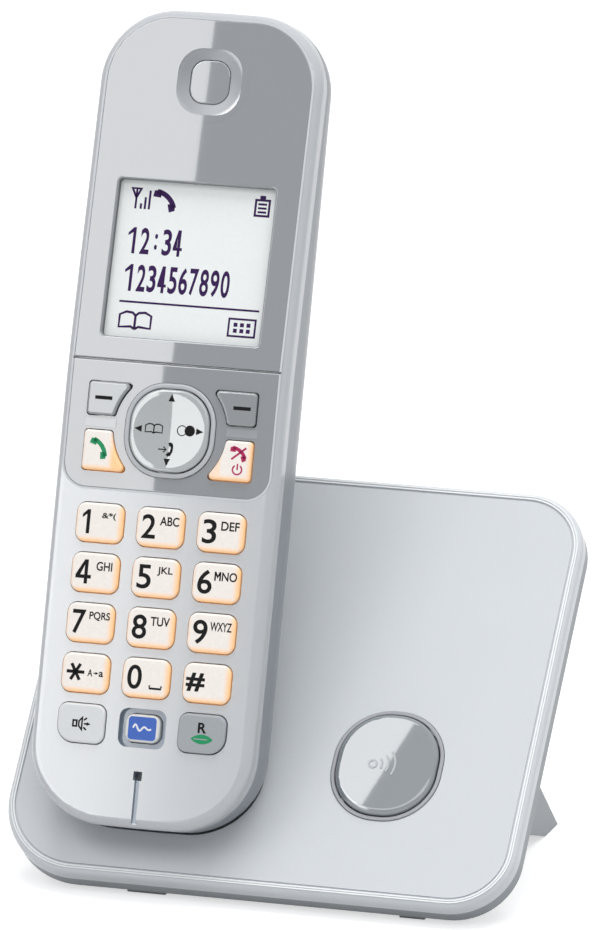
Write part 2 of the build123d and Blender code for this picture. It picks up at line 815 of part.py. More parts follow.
# Base board, aerial and jacks
board_centre = (base_board_left + base_board_width / 2, base_board_low + base_board_length / 2)
post_reach = (base_board_width / 2 - screw_boss, base_board_length / 2 - screw_boss)
board_posts = [
    (board_centre[0] + across * post_reach[0], board_centre[1] + along * post_reach[1])
    for across in (-1, 1)
    for along in (-1, 1)
]
with BuildPart() as base_board:
    slab(base_plane, base_board_level, base_board_thick, board_centre,
         (base_board_width, base_board_length))
save(base_board.part, "base_board")

with BuildPart() as base_antenna:
    slab(base_plane, base_board_level + antenna_high, antenna_high,
         (base_board_left + antenna_wide, base_board_low + base_board_length - antenna_long),
         (antenna_wide, antenna_long))
save(base_antenna.part, "base_antenna")

jack_level = base_wall - bulge_depth
jack_sizes = {
    "line_jack": (line_jack_up, line_socket_long, line_socket_high),
    "power_jack": (power_jack_up, power_socket_long, power_socket_high),
}


def jack_plane_at(up, high):
    """The plane of a jack's open end, looking out of the base's right side."""
    centre = base_plane.from_local_coords((jack_face, up, jack_level + jack_wall + high / 2))
    return Plane(origin=centre, x_dir=base_plane.y_dir, z_dir=(1, 0, 0))


for jack_name, (jack_up, socket_long, socket_high) in jack_sizes.items():
    jack_plane = jack_plane_at(jack_up, socket_high)
    with BuildPart() as jack:
        slab(jack_plane, 0, jack_depth, (0, 0), (socket_long + 2 * jack_wall, socket_high + 2 * jack_wall))
        slab(jack_plane, 0, socket_deep, (0, 0), (socket_long, socket_high), 0, Mode.SUBTRACT)
    save(jack.part, jack_name)

# Base rear case
bulge_step = base_wall / 2
head_level = screw_head_thick - rim_depth
board_rest = base_board_level - base_board_thick
with BuildPart() as base_rear_case:
    plate_slab(-cover_depth, rim_depth - cover_depth, case_inset)
    fillet(base_rear_case.faces().sort_by(base_out_axis)[0].edges(), radius=case_round)
    with BuildSketch(base_side):
        Polygon(
            (bulge_low, -rim_depth + bulge_step),
            (bulge_low, -rim_depth),
            (bulge_low + bulge_slope, -bulge_depth),
            (bulge_high - bulge_slope, -bulge_depth),
            (bulge_high, -rim_depth),
            (bulge_high, -rim_depth + bulge_step),
            align=None,
        )
    extrude(amount=bulge_width / 2, both=True)
    plate_slab(-cover_depth, rim_depth - cover_depth - base_wall, base_wall, Mode.SUBTRACT)
    with BuildSketch(base_side):
        Polygon(
            (bulge_low + base_wall, -cover_depth),
            (bulge_low + base_wall, base_wall - rim_depth),
            (bulge_low + base_wall + bulge_slope, base_wall - bulge_depth),
            (bulge_high - base_wall - bulge_slope, base_wall - bulge_depth),
            (bulge_high - base_wall, base_wall - rim_depth),
            (bulge_high - base_wall, -cover_depth),
            align=None,
        )
    extrude(amount=case_inner, both=True, mode=Mode.SUBTRACT)
    disc(base_plane, board_rest, bulge_depth + board_rest - base_wall, board_posts, screw_boss)
    disc(base_plane, 0, 2 * bulge_depth, screw_spots, screw_radius + screw_gap, Mode.SUBTRACT)
    disc(base_plane, head_level, rim_depth, screw_spots, screw_head + screw_gap, Mode.SUBTRACT)
    for jack_up, socket_long, socket_high in jack_sizes.values():
        slab(jack_plane_at(jack_up, socket_high), bulge_width, bulge_width + jack_gap, (0, 0),
             (socket_long, socket_high), 0, Mode.SUBTRACT)
save(base_rear_case.part, "base_rear_case")

with BuildPart() as case_screws:
    disc(base_plane, head_level, screw_head_thick, screw_spots, screw_head)
    disc(base_plane, head_level + screw_length, screw_length, screw_spots, screw_radius)
save(case_screws.part, "case_screws")

# Feet and rear legs
foot_toe = (foot_toe_up, floor_level(foot_toe_up))
foot_heel = (foot_toe[0] + foot_flat * base_sin, foot_toe[1] - foot_flat * base_cos)
foot_profile = [
    (case_inset - edge_round + case_round, -rim_depth),
    foot_toe,
    foot_heel,
    (foot_root_up, -rim_depth),
]
leg_profile = [
    (leg_root, -bulge_depth),
    (leg_toe, floor_level(leg_toe)),
    (leg_back, floor_level(leg_back)),
    (leg_back, -bulge_depth),
]
leg_x = leg_outer_x - leg_thick / 2
standing_pieces = {
    "front_foot_left": (foot_profile, foot_left_x, foot_left_width),
    "front_foot_right": (foot_profile, foot_right_x, foot_right_width),
    "rear_leg_left": (leg_profile, -leg_x, leg_thick),
    "rear_leg_right": (leg_profile, leg_x, leg_thick),
}
for stand_name, (profile, stand_x, stand_width) in standing_pieces.items():
    with BuildPart() as stand:
        with BuildSketch(base_side.offset(stand_x)):
            Polygon(*profile, align=None)
        extrude(amount=stand_width / 2, both=True)
    save(stand.part, stand_name)
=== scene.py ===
import math

import bmesh
import bpy
from mathutils import Matrix, Vector


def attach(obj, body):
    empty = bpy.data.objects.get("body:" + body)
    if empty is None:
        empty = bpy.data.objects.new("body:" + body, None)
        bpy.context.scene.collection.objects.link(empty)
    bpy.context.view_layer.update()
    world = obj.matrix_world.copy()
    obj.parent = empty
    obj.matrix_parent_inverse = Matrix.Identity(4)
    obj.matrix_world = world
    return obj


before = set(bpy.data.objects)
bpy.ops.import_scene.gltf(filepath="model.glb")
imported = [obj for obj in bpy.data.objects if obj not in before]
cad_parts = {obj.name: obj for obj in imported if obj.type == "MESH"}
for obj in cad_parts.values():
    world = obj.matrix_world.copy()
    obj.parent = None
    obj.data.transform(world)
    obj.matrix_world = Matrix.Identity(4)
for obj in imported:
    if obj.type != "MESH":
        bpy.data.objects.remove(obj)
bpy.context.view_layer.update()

# Base rear case with its two legs and two front feet: one grey ABS moulding
# with a fine spark-eroded grain, clipped and screwed to the pale cover.
MM = 0.001
PIT_DETAIL, PIT_SHADE, PIT_TONE, PIT_ROUGH = 3.0, 0.06, 0.97, 0.12
CLOUD_SCALE, CLOUD_DETAIL = 90.0, 4.0
GRAIN_BUMP, GRAIN_DEEP, GRAIN_COAT_ROUGH = 0.05, 0.02 * MM, 0.12


def new_finish(name):
    """A material with its node tree and its one shader."""
    finish = bpy.data.materials.new(name)
    finish.use_nodes = True
    tree = finish.node_tree
    return finish, tree, tree.nodes["Principled BSDF"]


def new_group(name, inputs, outputs):
    """An empty shader node group with named sockets."""
    tree = bpy.data.node_groups.new(name, "ShaderNodeTree")
    kinds = {"c": "NodeSocketColor", "f": "NodeSocketFloat"}
    for side, sockets in (("INPUT", inputs), ("OUTPUT", outputs)):
        for label, kind in sockets:
            tree.interface.new_socket(label, in_out=side, socket_type=kinds[kind])
    return tree, tree.nodes.new("NodeGroupInput").outputs, tree.nodes.new("NodeGroupOutput")


def feed(tree, node, values):
    """Links or sets a node's inputs, by name or number."""
    for key, value in values.items():
        if isinstance(value, bpy.types.NodeSocket):
            tree.links.new(value, node.inputs[key])
        else:
            node.inputs[key].default_value = value
    return node


def put(tree, kind, values=None, **settings):
    """Adds one node; settings are its properties, values its inputs."""
    node = tree.nodes.new(kind)
    for key, value in settings.items():
        setattr(node, key, value)
    return feed(tree, node, values or {})


def use(tree, group, **values):
    """Places a node group in a material with its own values; gives its outputs."""
    node = put(tree, "ShaderNodeGroup", node_tree=group)
    return feed(tree, node, {key.replace("_", " "): value for key, value in values.items()}).outputs


def reckon(tree, operation, *values, **settings):
    """One step of arithmetic; gives its result."""
    return put(tree, "ShaderNodeMath", dict(enumerate(values)), operation=operation,
               **settings).outputs[0]


def place_of(tree):
    """Where each point of a surface lies, with the part at rest."""
    return put(tree, "ShaderNodeTexCoord").outputs["Object"]


def noise(tree, place, scale, detail):
    """A cloudy pattern over a surface."""
    return put(tree, "ShaderNodeTexNoise",
               {"Vector": place, "Scale": scale, "Detail": detail}).outputs["Fac"]


def dimmed(tree, tone, level):
    """A colour made lighter or darker by a level."""
    return put(tree, "ShaderNodeVectorMath", {0: tone, "Scale": level},
               operation="SCALE").outputs[0]


def dress(finish, *names):
    """Gives CAD nodes a finish."""
    for name in names:
        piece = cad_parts[name]
        for slot in piece.material_slots:
            slot.material = finish
        if not piece.material_slots:
            piece.data.materials.append(finish)


def rgb(red, green, blue):
    """A colour written as it shows on a screen, turned to light values."""
    return tuple(math.pow(level / 255, 2.2) for level in (red, green, blue)) + (1.0,)


# Moulded grain: tiny pits, a slow drift of tone and the gloss between the pits.
grain_group, grain_in, grain_out = new_group(
    "moulded_grain",
    [("Tone", "c"), ("Pit Scale", "f"), ("Drift", "f"), ("Gloss", "f")],
    [("Color", "c"), ("Roughness", "f"), ("Height", "f")],
)
grain_place = place_of(grain_group)
pits = noise(grain_group, grain_place, grain_in["Pit Scale"], PIT_DETAIL)
cloud = noise(grain_group, grain_place, CLOUD_SCALE, CLOUD_DETAIL)
drift = reckon(grain_group, "MULTIPLY", reckon(grain_group, "SUBTRACT", cloud, 0.5),
               grain_in["Drift"])
pit_tone = reckon(grain_group, "MULTIPLY_ADD", pits, PIT_SHADE, PIT_TONE)
feed(grain_group, grain_out, {
    "Color": dimmed(grain_group, grain_in["Tone"], reckon(grain_group, "ADD", pit_tone, drift)),
    "Roughness": reckon(grain_group, "MULTIPLY_ADD", pits, PIT_ROUGH, grain_in["Gloss"]),
    "Height": pits,
})


def moulded(name, tone, pit_scale, drift_share, gloss, coat=0.0, specular=0.5):
    """A moulded plastic finish with grain in its colour, gloss and surface."""
    finish, tree, shader = new_finish(name)
    grain = use(tree, grain_group, Tone=tone, Pit_Scale=pit_scale, Drift=drift_share, Gloss=gloss)
    relief = put(tree, "ShaderNodeBump",
                 {"Height": grain["Height"], "Strength": GRAIN_BUMP, "Distance": GRAIN_DEEP})
    feed(tree, shader, {
        "Base Color": grain["Color"], "Roughness": grain["Roughness"],
        "Normal": relief.outputs["Normal"], "Specular IOR Level": specular,
        "Coat Weight": coat, "Coat Roughness": GRAIN_COAT_ROUGH,
    })
    return finish


dress(moulded("case_grey", rgb(140, 146, 151), 5200.0, 0.05, 0.34),
      "base_rear_case", "rear_leg_left", "rear_leg_right", "front_foot_left", "front_foot_right")

# Case screws, the spring contacts and the battery strips: plated steel and
# brass stampings, brushed by the tool that formed them.
BRUSH_STRETCH = (9000.0, 400.0, 400.0)
BRUSH_DARK, BRUSH_LIGHT = rgb(168, 166, 160), rgb(222, 220, 214)
BRUSH_DETAIL, BRUSH_ROUGH, METAL_ROUGH = 4.0, 0.2, 0.16
metal_finish, metal_tree, metal_shader = new_finish("plated_metal")
metal_stretch = put(metal_tree, "ShaderNodeMapping",
                    {"Vector": place_of(metal_tree), "Scale": BRUSH_STRETCH})
metal_brush = noise(metal_tree, metal_stretch.outputs[0], 1.0, BRUSH_DETAIL)
metal_tone = put(metal_tree, "ShaderNodeValToRGB", {"Fac": metal_brush})
metal_tone.color_ramp.elements[0].color = BRUSH_DARK
metal_tone.color_ramp.elements[1].color = BRUSH_LIGHT
feed(metal_tree, metal_shader, {
    "Base Color": metal_tone.outputs["Color"], "Metallic": 1.0,
    "Roughness": reckon(metal_tree, "MULTIPLY_ADD", metal_brush, BRUSH_ROUGH, METAL_ROUGH),
})
dress(metal_finish, "case_screws", "charge_contact_left", "charge_contact_right",
      "battery_contacts", "charge_terminals")

# Jacks, switch, microphone and speakers: black glass-filled nylon and matt
# black cans, seen only through the sockets and the sound holes. The microphone
# wears a grey gauze.
dress(moulded("black_nylon", rgb(40, 40, 43), 4200.0, 0.08, 0.45),
      "line_jack", "power_jack", "page_switch", "earpiece_speaker", "ringer_speaker", "battery_bay")
dress(moulded("gauze_grey", rgb(176, 180, 184), 2200.0, 0.1, 0.6), "microphone")

# Circuit boards and aerials: glass weave laminate under a green lacquer, with
# copper tracks etched below it, and screwed inside the cases.
TRACK_SCALE, TRACK_GAP, TRACK_ROUGH, LACQUER_ROUGH = 260.0, 0.03, 0.2, 0.3
LACQUER_TONES = {"Color1": rgb(24, 92, 58), "Color2": rgb(30, 104, 66), "Mortar": rgb(60, 132, 84)}
board_finish, board_tree, board_shader = new_finish("board_lacquer")
board_track = put(board_tree, "ShaderNodeTexBrick",
                  {"Vector": place_of(board_tree), "Scale": TRACK_SCALE, "Mortar Size": TRACK_GAP,
                   **LACQUER_TONES}).outputs
feed(board_tree, board_shader, {
    "Base Color": board_track["Color"],
    "Roughness": reckon(board_tree, "MULTIPLY_ADD", board_track["Fac"], TRACK_ROUGH, LACQUER_ROUGH),
})
dress(board_finish, "base_board", "base_antenna", "main_board", "handset_antenna", "keypad_board")

# Keypad mat and dome sheet: translucent silicone moulded in one mat, over a
# lacquered film that carries the snap domes.
dress(moulded("mat_rubber", rgb(214, 208, 198), 3000.0, 0.06, 0.5), "keypad_mat", "dome_sheet")

# Two rechargeable cells: steel cans in grey shrink sleeves, held in the bay by
# the contact strips.
cell_finish, cell_tree, cell_shader = new_finish("cell_sleeve")
cell_grain = use(cell_tree, grain_group, Tone=rgb(96, 104, 112), Pit_Scale=2400.0, Drift=0.1,
                 Gloss=0.25)
feed(cell_tree, cell_shader,
     {"Base Color": cell_grain["Color"], "Roughness": cell_grain["Roughness"]})
dress(cell_finish, "battery_cells")

# Base front cover: a large plate in satin silver paint over a pale moulding,
# with the metal flake of the paint and a clear lacquer on top.
SWELL_SCALE, SWELL_DETAIL, SWELL_SHADE, SWELL_TONE = 45.0, 5.0, 0.05, 0.975
PAINT_FLAKE, FLAKE_ROUGH, FLAKE_BUMP, FLAKE_DEEP = 6500.0, 0.1, 0.04, 0.01 * MM
PAINT_COAT_ROUGH = 0.08
flake_group, flake_in, flake_out = new_group(
    "satin_flake",
    [("Paint", "c"), ("Flake Scale", "f"), ("Flake Share", "f"), ("Gloss", "f")],
    [("Color", "c"), ("Roughness", "f"), ("Height", "f")],
)
flake_place = place_of(flake_group)
flakes = put(flake_group, "ShaderNodeTexVoronoi",
             {"Vector": flake_place, "Scale": flake_in["Flake Scale"]}).outputs["Color"]
flake_value = put(flake_group, "ShaderNodeSeparateColor", {"Color": flakes}).outputs
flake_centre = reckon(flake_group, "SUBTRACT", flake_value["Red"], 0.5)
flake_shade = reckon(flake_group, "MULTIPLY", flake_centre, flake_in["Flake Share"])
swell = noise(flake_group, flake_place, SWELL_SCALE, SWELL_DETAIL)
flake_swell = reckon(flake_group, "MULTIPLY_ADD", swell, SWELL_SHADE, SWELL_TONE)
flake_level = reckon(flake_group, "ADD", flake_shade, flake_swell)
feed(flake_group, flake_out, {
    "Color": dimmed(flake_group, flake_in["Paint"], flake_level),
    "Roughness": reckon(flake_group, "MULTIPLY_ADD", flake_value["Green"], FLAKE_ROUGH,
                        flake_in["Gloss"]),
    "Height": flake_value["Blue"],
})


def painted(name, paint, share, gloss, coat):
    """Satin silver paint with its flake and lacquer."""
    finish, tree, shader = new_finish(name)
    flake = use(tree, flake_group, Paint=paint, Flake_Scale=PAINT_FLAKE, Flake_Share=share,
                Gloss=gloss)
    relief = put(tree, "ShaderNodeBump",
                 {"Height": flake["Height"], "Strength": FLAKE_BUMP, "Distance": FLAKE_DEEP})
    feed(tree, shader, {
        "Base Color": flake["Color"], "Roughness": flake["Roughness"],
        "Normal": relief.outputs["Normal"],
        "Coat Weight": coat, "Coat Roughness": PAINT_COAT_ROUGH,
    })
    return finish


dress(painted("plate_silver", rgb(206, 210, 214), 0.025, 0.34, 0.3), "base_front_cover")

# Page button: a gloss silver cap in a bright ring, with a raised mark of a
# small ring and three arcs, for a handset that is made to ring.
BASE_LEAN = math.radians(41.7)
BASE_ORIGIN = Vector((0, -35.594, 6.0))
PAGE_TOP = 1.3
MARK_MIDDLE, MARK_RADIUS, MARK_LINE, MARK_THICK = (20.65, 27.45), 0.8, 0.42, 0.16
MARK_ARCS, MARK_START, MARK_STOP = (1.95, 3.25, 4.6), -26, 40
SUNK_SHARE, MELT_GAP = 0.3, 1e-5
GLOSS_FLAKE, GLOSS_SHARE, GLOSS_ROUGH, GLOSS_COAT_ROUGH = 9000.0, 0.03, 0.02, 0.01


def leaning_axes(lean):
    """Across, up and out directions of a face that leans back by an angle."""
    return (Vector((1, 0, 0)), Vector((0, math.sin(lean), math.cos(lean))),
            Vector((0, -math.cos(lean), math.sin(lean))))


def on_face(face, across, up, out):
    """A place on a leaning face, in millimetres."""
    origin, axes = face
    return origin + axes[0] * across + axes[1] * up + axes[2] * out


def flattened(curve):
    """The mesh of a flat curve, which is used up; it is one unit thick."""
    curve.extrude = 0.5
    holder = bpy.data.objects.new("outline", curve)
    mesh = bpy.data.meshes.new_from_object(holder)
    bpy.data.objects.remove(holder)
    bpy.data.curves.remove(curve)
    return mesh


def filled(loops):
    """A flat mesh from closed loops; a loop inside another is a hole."""
    curve = bpy.data.curves.new("outline", "CURVE")
    curve.dimensions = "2D"
    curve.fill_mode = "BOTH"
    for loop in loops:
        spline = curve.splines.new("POLY")
        spline.points.add(len(loop) - 1)
        for point, (x, y) in zip(spline.points, loop):
            point.co = (x, y, 0, 1)
        spline.use_cyclic_u = True
    return flattened(curve)


def lettered(words, heavy):
    """A flat mesh of a line of plain figures or letters."""
    curve = bpy.data.curves.new("words", "FONT")
    curve.body = words
    curve.offset = heavy
    return flattened(curve)


def lay(name, meshes, face, spot, thick, finish, body, hollow=None):
    """Sets flat marks on a leaning face, or in a hollow of it, as one thin raised print."""
    shape = bmesh.new()
    for mesh in meshes:
        shape.from_mesh(mesh)
        bpy.data.meshes.remove(mesh)
    bmesh.ops.remove_doubles(shape, verts=shape.verts, dist=MELT_GAP)
    for vert in shape.verts:
        rise = thick * (vert.co.z + 0.5) - SUNK_SHARE * thick
        if hollow:
            rise += hollow(vert.co.x, vert.co.y)
        vert.co = on_face(face, spot[0] + vert.co.x, spot[1] + vert.co.y, spot[2] + rise) * MM
    mesh = bpy.data.meshes.new(name)
    shape.to_mesh(mesh)
    shape.free()
    mesh.materials.append(finish)
    piece = bpy.data.objects.new(name, mesh)
    bpy.context.scene.collection.objects.link(piece)
    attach(piece, body)
    return piece


def round_line(centre, radius, start, stop, steps=24):
    """Points along an arc, angles in degrees."""
    angles = [math.radians(start + (stop - start) * step / steps) for step in range(steps + 1)]
    return [(centre[0] + radius * math.cos(angle), centre[1] + radius * math.sin(angle))
            for angle in angles]


def circle(centre, radius, points=24):
    """The loop of a circle."""
    return round_line(centre, radius, 0, 360 - 360 / points, points - 1)


def ring(centre, radius, width):
    """Two loops of a ring."""
    return [circle(centre, radius + width / 2), circle(centre, radius - width / 2)]


def stroke(points, width):
    """The outline of a line of even width through points."""
    sides = ([], [])
    for index, (x, y) in enumerate(points):
        before = points[max(index - 1, 0)]
        after = points[min(index + 1, len(points) - 1)]
        along = Vector((after[0] - before[0], after[1] - before[1])).normalized()
        sides[0].append((x - along.y * width / 2, y + along.x * width / 2))
        sides[1].append((x + along.y * width / 2, y - along.x * width / 2))
    return sides[0] + sides[1][::-1]


def polished(name, paint):
    """A hard clear coat, as smooth as glass, over a silver print."""
    finish, tree, shader = new_finish(name)
    tone = use(tree, flake_group, Paint=paint, Flake_Scale=GLOSS_FLAKE, Flake_Share=GLOSS_SHARE,
               Gloss=GLOSS_ROUGH)["Color"]
    feed(tree, shader, {
        "Base Color": tone, "Roughness": GLOSS_ROUGH, "Specular IOR Level": 1.0,
        "Coat Weight": 1.0, "Coat Roughness": GLOSS_COAT_ROUGH,
    })
    return finish, tree, shader, tone


base_face = (BASE_ORIGIN, leaning_axes(BASE_LEAN))
dress(polished("page_gloss", rgb(126, 133, 138))[0], "page_button")
dress(painted("bright_ring", rgb(160, 162, 168), 0.03, 0.1, 1.0), "page_ring")
page_mark = painted("page_mark", rgb(184, 188, 191), 0.05, 0.2, 0.5)
mark_meshes = [filled(ring(MARK_MIDDLE, MARK_RADIUS, MARK_LINE))]
for arc_radius in MARK_ARCS:
    mark_arc = round_line(MARK_MIDDLE, arc_radius, MARK_START, MARK_STOP)
    mark_meshes.append(filled([stroke(mark_arc, MARK_LINE)]))
lay("page_ring_mark", mark_meshes, base_face, (0, 0, PAGE_TOP), MARK_THICK, page_mark,
    "page_button")

# Painted highlight round the plate: two slim white lines of gloss lacquer
# along the groove between the plate and its rounded rim, standing in for the
# rim's highlight.
PLATE_HALF_WIDE, PLATE_HALF_HIGH, PLATE_MIDDLE = 53.45, 46.15, 44.65
PLATE_LEFT_CORNER, PLATE_RIGHT_CORNER = 16.5, 13.0
RIM_LINES = ((1.66, 1.38), (1.14, 0.9))
RIM_THICK = 0.2


def rounded_box(half_wide, half_high, right_corner, left_corner, steps, middle_up=0.0):
    """The loop of a box with round corners, its right and left pairs each of one radius."""
    loop = []
    for side, rise, corner, turn in ((1, 1, right_corner, 0), (-1, 1, left_corner, 90),
                                     (-1, -1, left_corner, 180), (1, -1, right_corner, 270)):
        middle = (side * (half_wide - corner), middle_up + rise * (half_high - corner))
        loop += round_line(middle, corner, turn, turn + 90, steps)
    return loop


def plate_loop(inset):
    """The plate's outline, drawn in from its edge."""
    return rounded_box(PLATE_HALF_WIDE - inset, PLATE_HALF_HIGH - inset,
                       PLATE_RIGHT_CORNER - inset, PLATE_LEFT_CORNER - inset, 24, PLATE_MIDDLE)


rim_highlight_white = painted("rim_highlight_white", rgb(244, 246, 247), 0.02, 0.1, 0.8)
rim_meshes = [filled([plate_loop(inset) for inset in line]) for line in RIM_LINES]
lay("rim_highlight_lines", rim_meshes, base_face, (0, 0, 0), RIM_THICK, rim_highlight_white, "base")

# Handset rear housing and battery cover: satin grey ABS, a tone darker than
# the front, with a fine grain for grip.
dress(moulded("rear_grey", rgb(128, 134, 140), 5600.0, 0.05, 0.3, coat=0.15), "rear_housing")
cover_grey = moulded("cover_grey", rgb(126, 132, 138), 4200.0, 0.05, 0.34)
dress(cover_grey, "battery_cover")

# Handset front housing: the bright silver moulding that frames the panels and
# carries the dial keys, painted like the base and a little glossier. Painted
# shade turns its colour dark blue-grey in the key openings and in the groove
# below the microphone.
HANDSET_LEAN = math.radians(17.9)
HANDSET_SPOT = (-22.25, 4.55, 10.5)
KEYS_MIDDLE, KEYS_HALF, KEYS_START, KEYS_DEEP = (0, 36.0), (20.6, 26.0), 0.12, 0.6
GROOVE_MIDDLE, GROOVE_HALF, GROOVE_START, GROOVE_DEEP = (0, 6.0), (0.8, 5.0), 0.1, 0.5
handset_axes = leaning_axes(HANDSET_LEAN)
handset_origin = on_face(base_face, *HANDSET_SPOT)
handset_face = (handset_origin, handset_axes)


def along_axis(tree, place, axis):
    """How far a point lies along a direction."""
    return put(tree, "ShaderNodeVectorMath", {0: place, 1: tuple(axis)},
               operation="DOT_PRODUCT").outputs["Value"]


def ramp(tree, value, low, high, start=0.0, stop=1.0, kind="LINEAR"):
    """A value carried from one range to another."""
    return put(tree, "ShaderNodeMapRange",
               {"Value": value, "From Min": low, "From Max": high, "To Min": start, "To Max": stop},
               interpolation_type=kind).outputs["Result"]


def mixed(tree, share, one, other):
    """Two colours mixed by a share."""
    return put(tree, "ShaderNodeMix", {0: share, 6: one, 7: other}, data_type="RGBA").outputs[2]


def recess(tree, face, middle, half, start, full):
    """A mask of what lies below a face, within a box on it; one at the full depth."""
    origin, axes = face
    place = place_of(tree)
    inside = [reckon(tree, "COMPARE", along_axis(tree, place, axis),
                     (origin.dot(axis) + centre) * MM, reach * MM)
              for axis, centre, reach in zip(axes, middle, half)]
    level = origin.dot(axes[2])
    depth = ramp(tree, along_axis(tree, place, axes[2]), (level - start) * MM, (level - full) * MM)
    return reckon(tree, "MULTIPLY", reckon(tree, "MULTIPLY", *inside), depth)


front_finish, front_tree, front_shader = new_finish("front_silver")
front_flake = use(front_tree, flake_group, Paint=rgb(184, 187, 191), Flake_Scale=PAINT_FLAKE,
                  Flake_Share=0.014, Gloss=0.1)
# Painted shade: these masks turn the colour dark blue-grey below the face, in the key openings and
# the groove.
key_painted_shade = recess(front_tree, handset_face, KEYS_MIDDLE, KEYS_HALF, KEYS_START, KEYS_DEEP)
groove_painted_shade = recess(front_tree, handset_face, GROOVE_MIDDLE, GROOVE_HALF, GROOVE_START,
                       GROOVE_DEEP)
front_painted_shade = reckon(front_tree, "MAXIMUM", key_painted_shade, groove_painted_shade)
feed(front_tree, front_shader, {
    "Base Color": mixed(front_tree, front_painted_shade, front_flake["Color"], rgb(124, 138, 154)),
    "Roughness": front_flake["Roughness"], "Specular IOR Level": 1.0,
})
dress(front_finish, "front_housing")

# Grip on the battery cover: five ribs under the thumb and an arrow that shows
# which way the cover slides, moulded with the cover.
BACK_LEVEL = 22.5
GRIP_RIBS, GRIP_UP, GRIP_PITCH, GRIP_WIDE, GRIP_LINE, GRIP_THICK = 5, 74.0, 1.7, 11.0, 0.8, 0.5
GRIP_ARROW = [(-2.6, 70.6), (2.6, 70.6), (0, 67.6)]


def level_bar(wide, line, up=0.0):
    """The loop of a level bar about its middle."""
    return stroke([(-wide / 2, up), (wide / 2, up)], line)


back_face = (handset_origin, (-handset_axes[0], handset_axes[1], -handset_axes[2]))
grip_meshes = [filled([GRIP_ARROW])]
for rib in range(GRIP_RIBS):
    grip_meshes.append(filled([level_bar(GRIP_WIDE, GRIP_LINE, GRIP_UP + GRIP_PITCH * rib)]))
lay("cover_grip", grip_meshes, back_face, (0, 0, BACK_LEVEL), GRIP_THICK, cover_grey,
    "battery_cover")

# Display panel, control panel and earpiece pad: polished grey hard-coated
# acrylic over a silver print, which mirrors the studio's lights. The window's
# walls and the hollow round the pad are satin, and the walls carry a painted
# shade of dark grey.
BEND = math.radians(4.0)
BEND_UP = 92.3
LENS_GREY, WALL_PAINTED_SHADE = rgb(130, 134, 139), rgb(52, 56, 62)
WINDOW_MIDDLE, WINDOW_HALF, WALL_START, WALL_DEEP = (0, 113.0), (18.0, 18.0), 0.25, 0.6
DISH_UP, DISH_REACH, DISH_EDGE = 149.4, 7.4, 0.8
SATIN_ROUGH, SATIN_COAT = 0.36, 0.05
display_axes = leaning_axes(HANDSET_LEAN + BEND)
display_face = (handset_origin + (handset_axes[1] - display_axes[1]) * BEND_UP, display_axes)
lens_finish, lens_tree, lens_shader, lens_print = polished("lens_gloss", LENS_GREY)
# Painted shade: this mask colours the window's walls dark grey below the panel's face, and also
# makes them satin.
wall_shade_and_satin = recess(lens_tree, display_face, WINDOW_MIDDLE, WINDOW_HALF, WALL_START, WALL_DEEP)
dish_middle = on_face(display_face, 0, DISH_UP, 0) * MM
dish_far = put(lens_tree, "ShaderNodeVectorMath", {0: place_of(lens_tree), 1: tuple(dish_middle)},
               operation="DISTANCE").outputs["Value"]
dish_mask = ramp(lens_tree, dish_far, DISH_REACH * MM, (DISH_REACH - DISH_EDGE) * MM)
lens_satin = reckon(lens_tree, "MAXIMUM", dish_mask, wall_shade_and_satin)
feed(lens_tree, lens_shader, {
    "Base Color": mixed(lens_tree, wall_shade_and_satin, lens_print, WALL_PAINTED_SHADE),
    "Roughness": ramp(lens_tree, lens_satin, 0.0, 1.0, GLOSS_ROUGH, SATIN_ROUGH),
    "Coat Weight": ramp(lens_tree, lens_satin, 0.0, 1.0, 1.0, SATIN_COAT),
})
dress(lens_finish, "display_panel")
control_finish = polished("control_gloss", LENS_GREY)[0]
dress(control_finish, "control_panel", "earpiece_pad")

# Earpiece rim: a flush ring that brings the round hollow in the panel to a
# rounded square about the pad, of the panel's own material.
EAR_REACH, EAR_HALF, EAR_CORNER, EAR_THICK = 8.3, 6.7, 5.0, 0.05
ear_loops = [circle((0, 0), EAR_REACH, 60),
             rounded_box(EAR_HALF, EAR_HALF, EAR_CORNER, EAR_CORNER, 12)]
earpiece_rim = lay("earpiece_rim", [filled(ear_loops)], display_face, (0, DISH_UP, 0), EAR_THICK,
                   control_finish, "handset")

# Bead round the two panels: a slim bright line of lacquer laid over the seam
# between the panels and the silver front, a painted highlight that hides the
# seam's shade.
BEAD_WIDE, BEAD_THICK = 0.4, 0.06
PANEL_HALF, PANEL_TOP, PANEL_LOW = 21.66, 162.06, 66.6
LENS_CORNER, CONTROL_CORNER = 13.46, 5.06
LENS_LOW, CONTROL_TOP = 92.5, 92.1
bead_highlight_silver = painted("bead_highlight_silver", rgb(206, 209, 213), 0.03, 0.16, 0.6)


def lay_highlight_bead(name, face, end_up, bend_up, corner, turns):
    """Lays a painted highlight line from one side, round two corners and back up or down the other
    side.
    """
    line = [(-PANEL_HALF, end_up)]
    for side, (start, stop) in zip((-1, 1), turns):
        line += round_line((side * (PANEL_HALF - corner), bend_up), corner, start, stop)
    line.append((PANEL_HALF, end_up))
    lay(name, [filled([stroke(line, BEAD_WIDE)])], face, (0, 0, 0), BEAD_THICK, bead_highlight_silver,
        "handset")


lay_highlight_bead("lens_highlight_bead", display_face, LENS_LOW, PANEL_TOP - LENS_CORNER, LENS_CORNER,
         ((180, 90), (90, 0)))
lay_highlight_bead("control_highlight_bead", handset_face, CONTROL_TOP, PANEL_LOW + CONTROL_CORNER, CONTROL_CORNER,
         ((180, 270), (270, 360)))

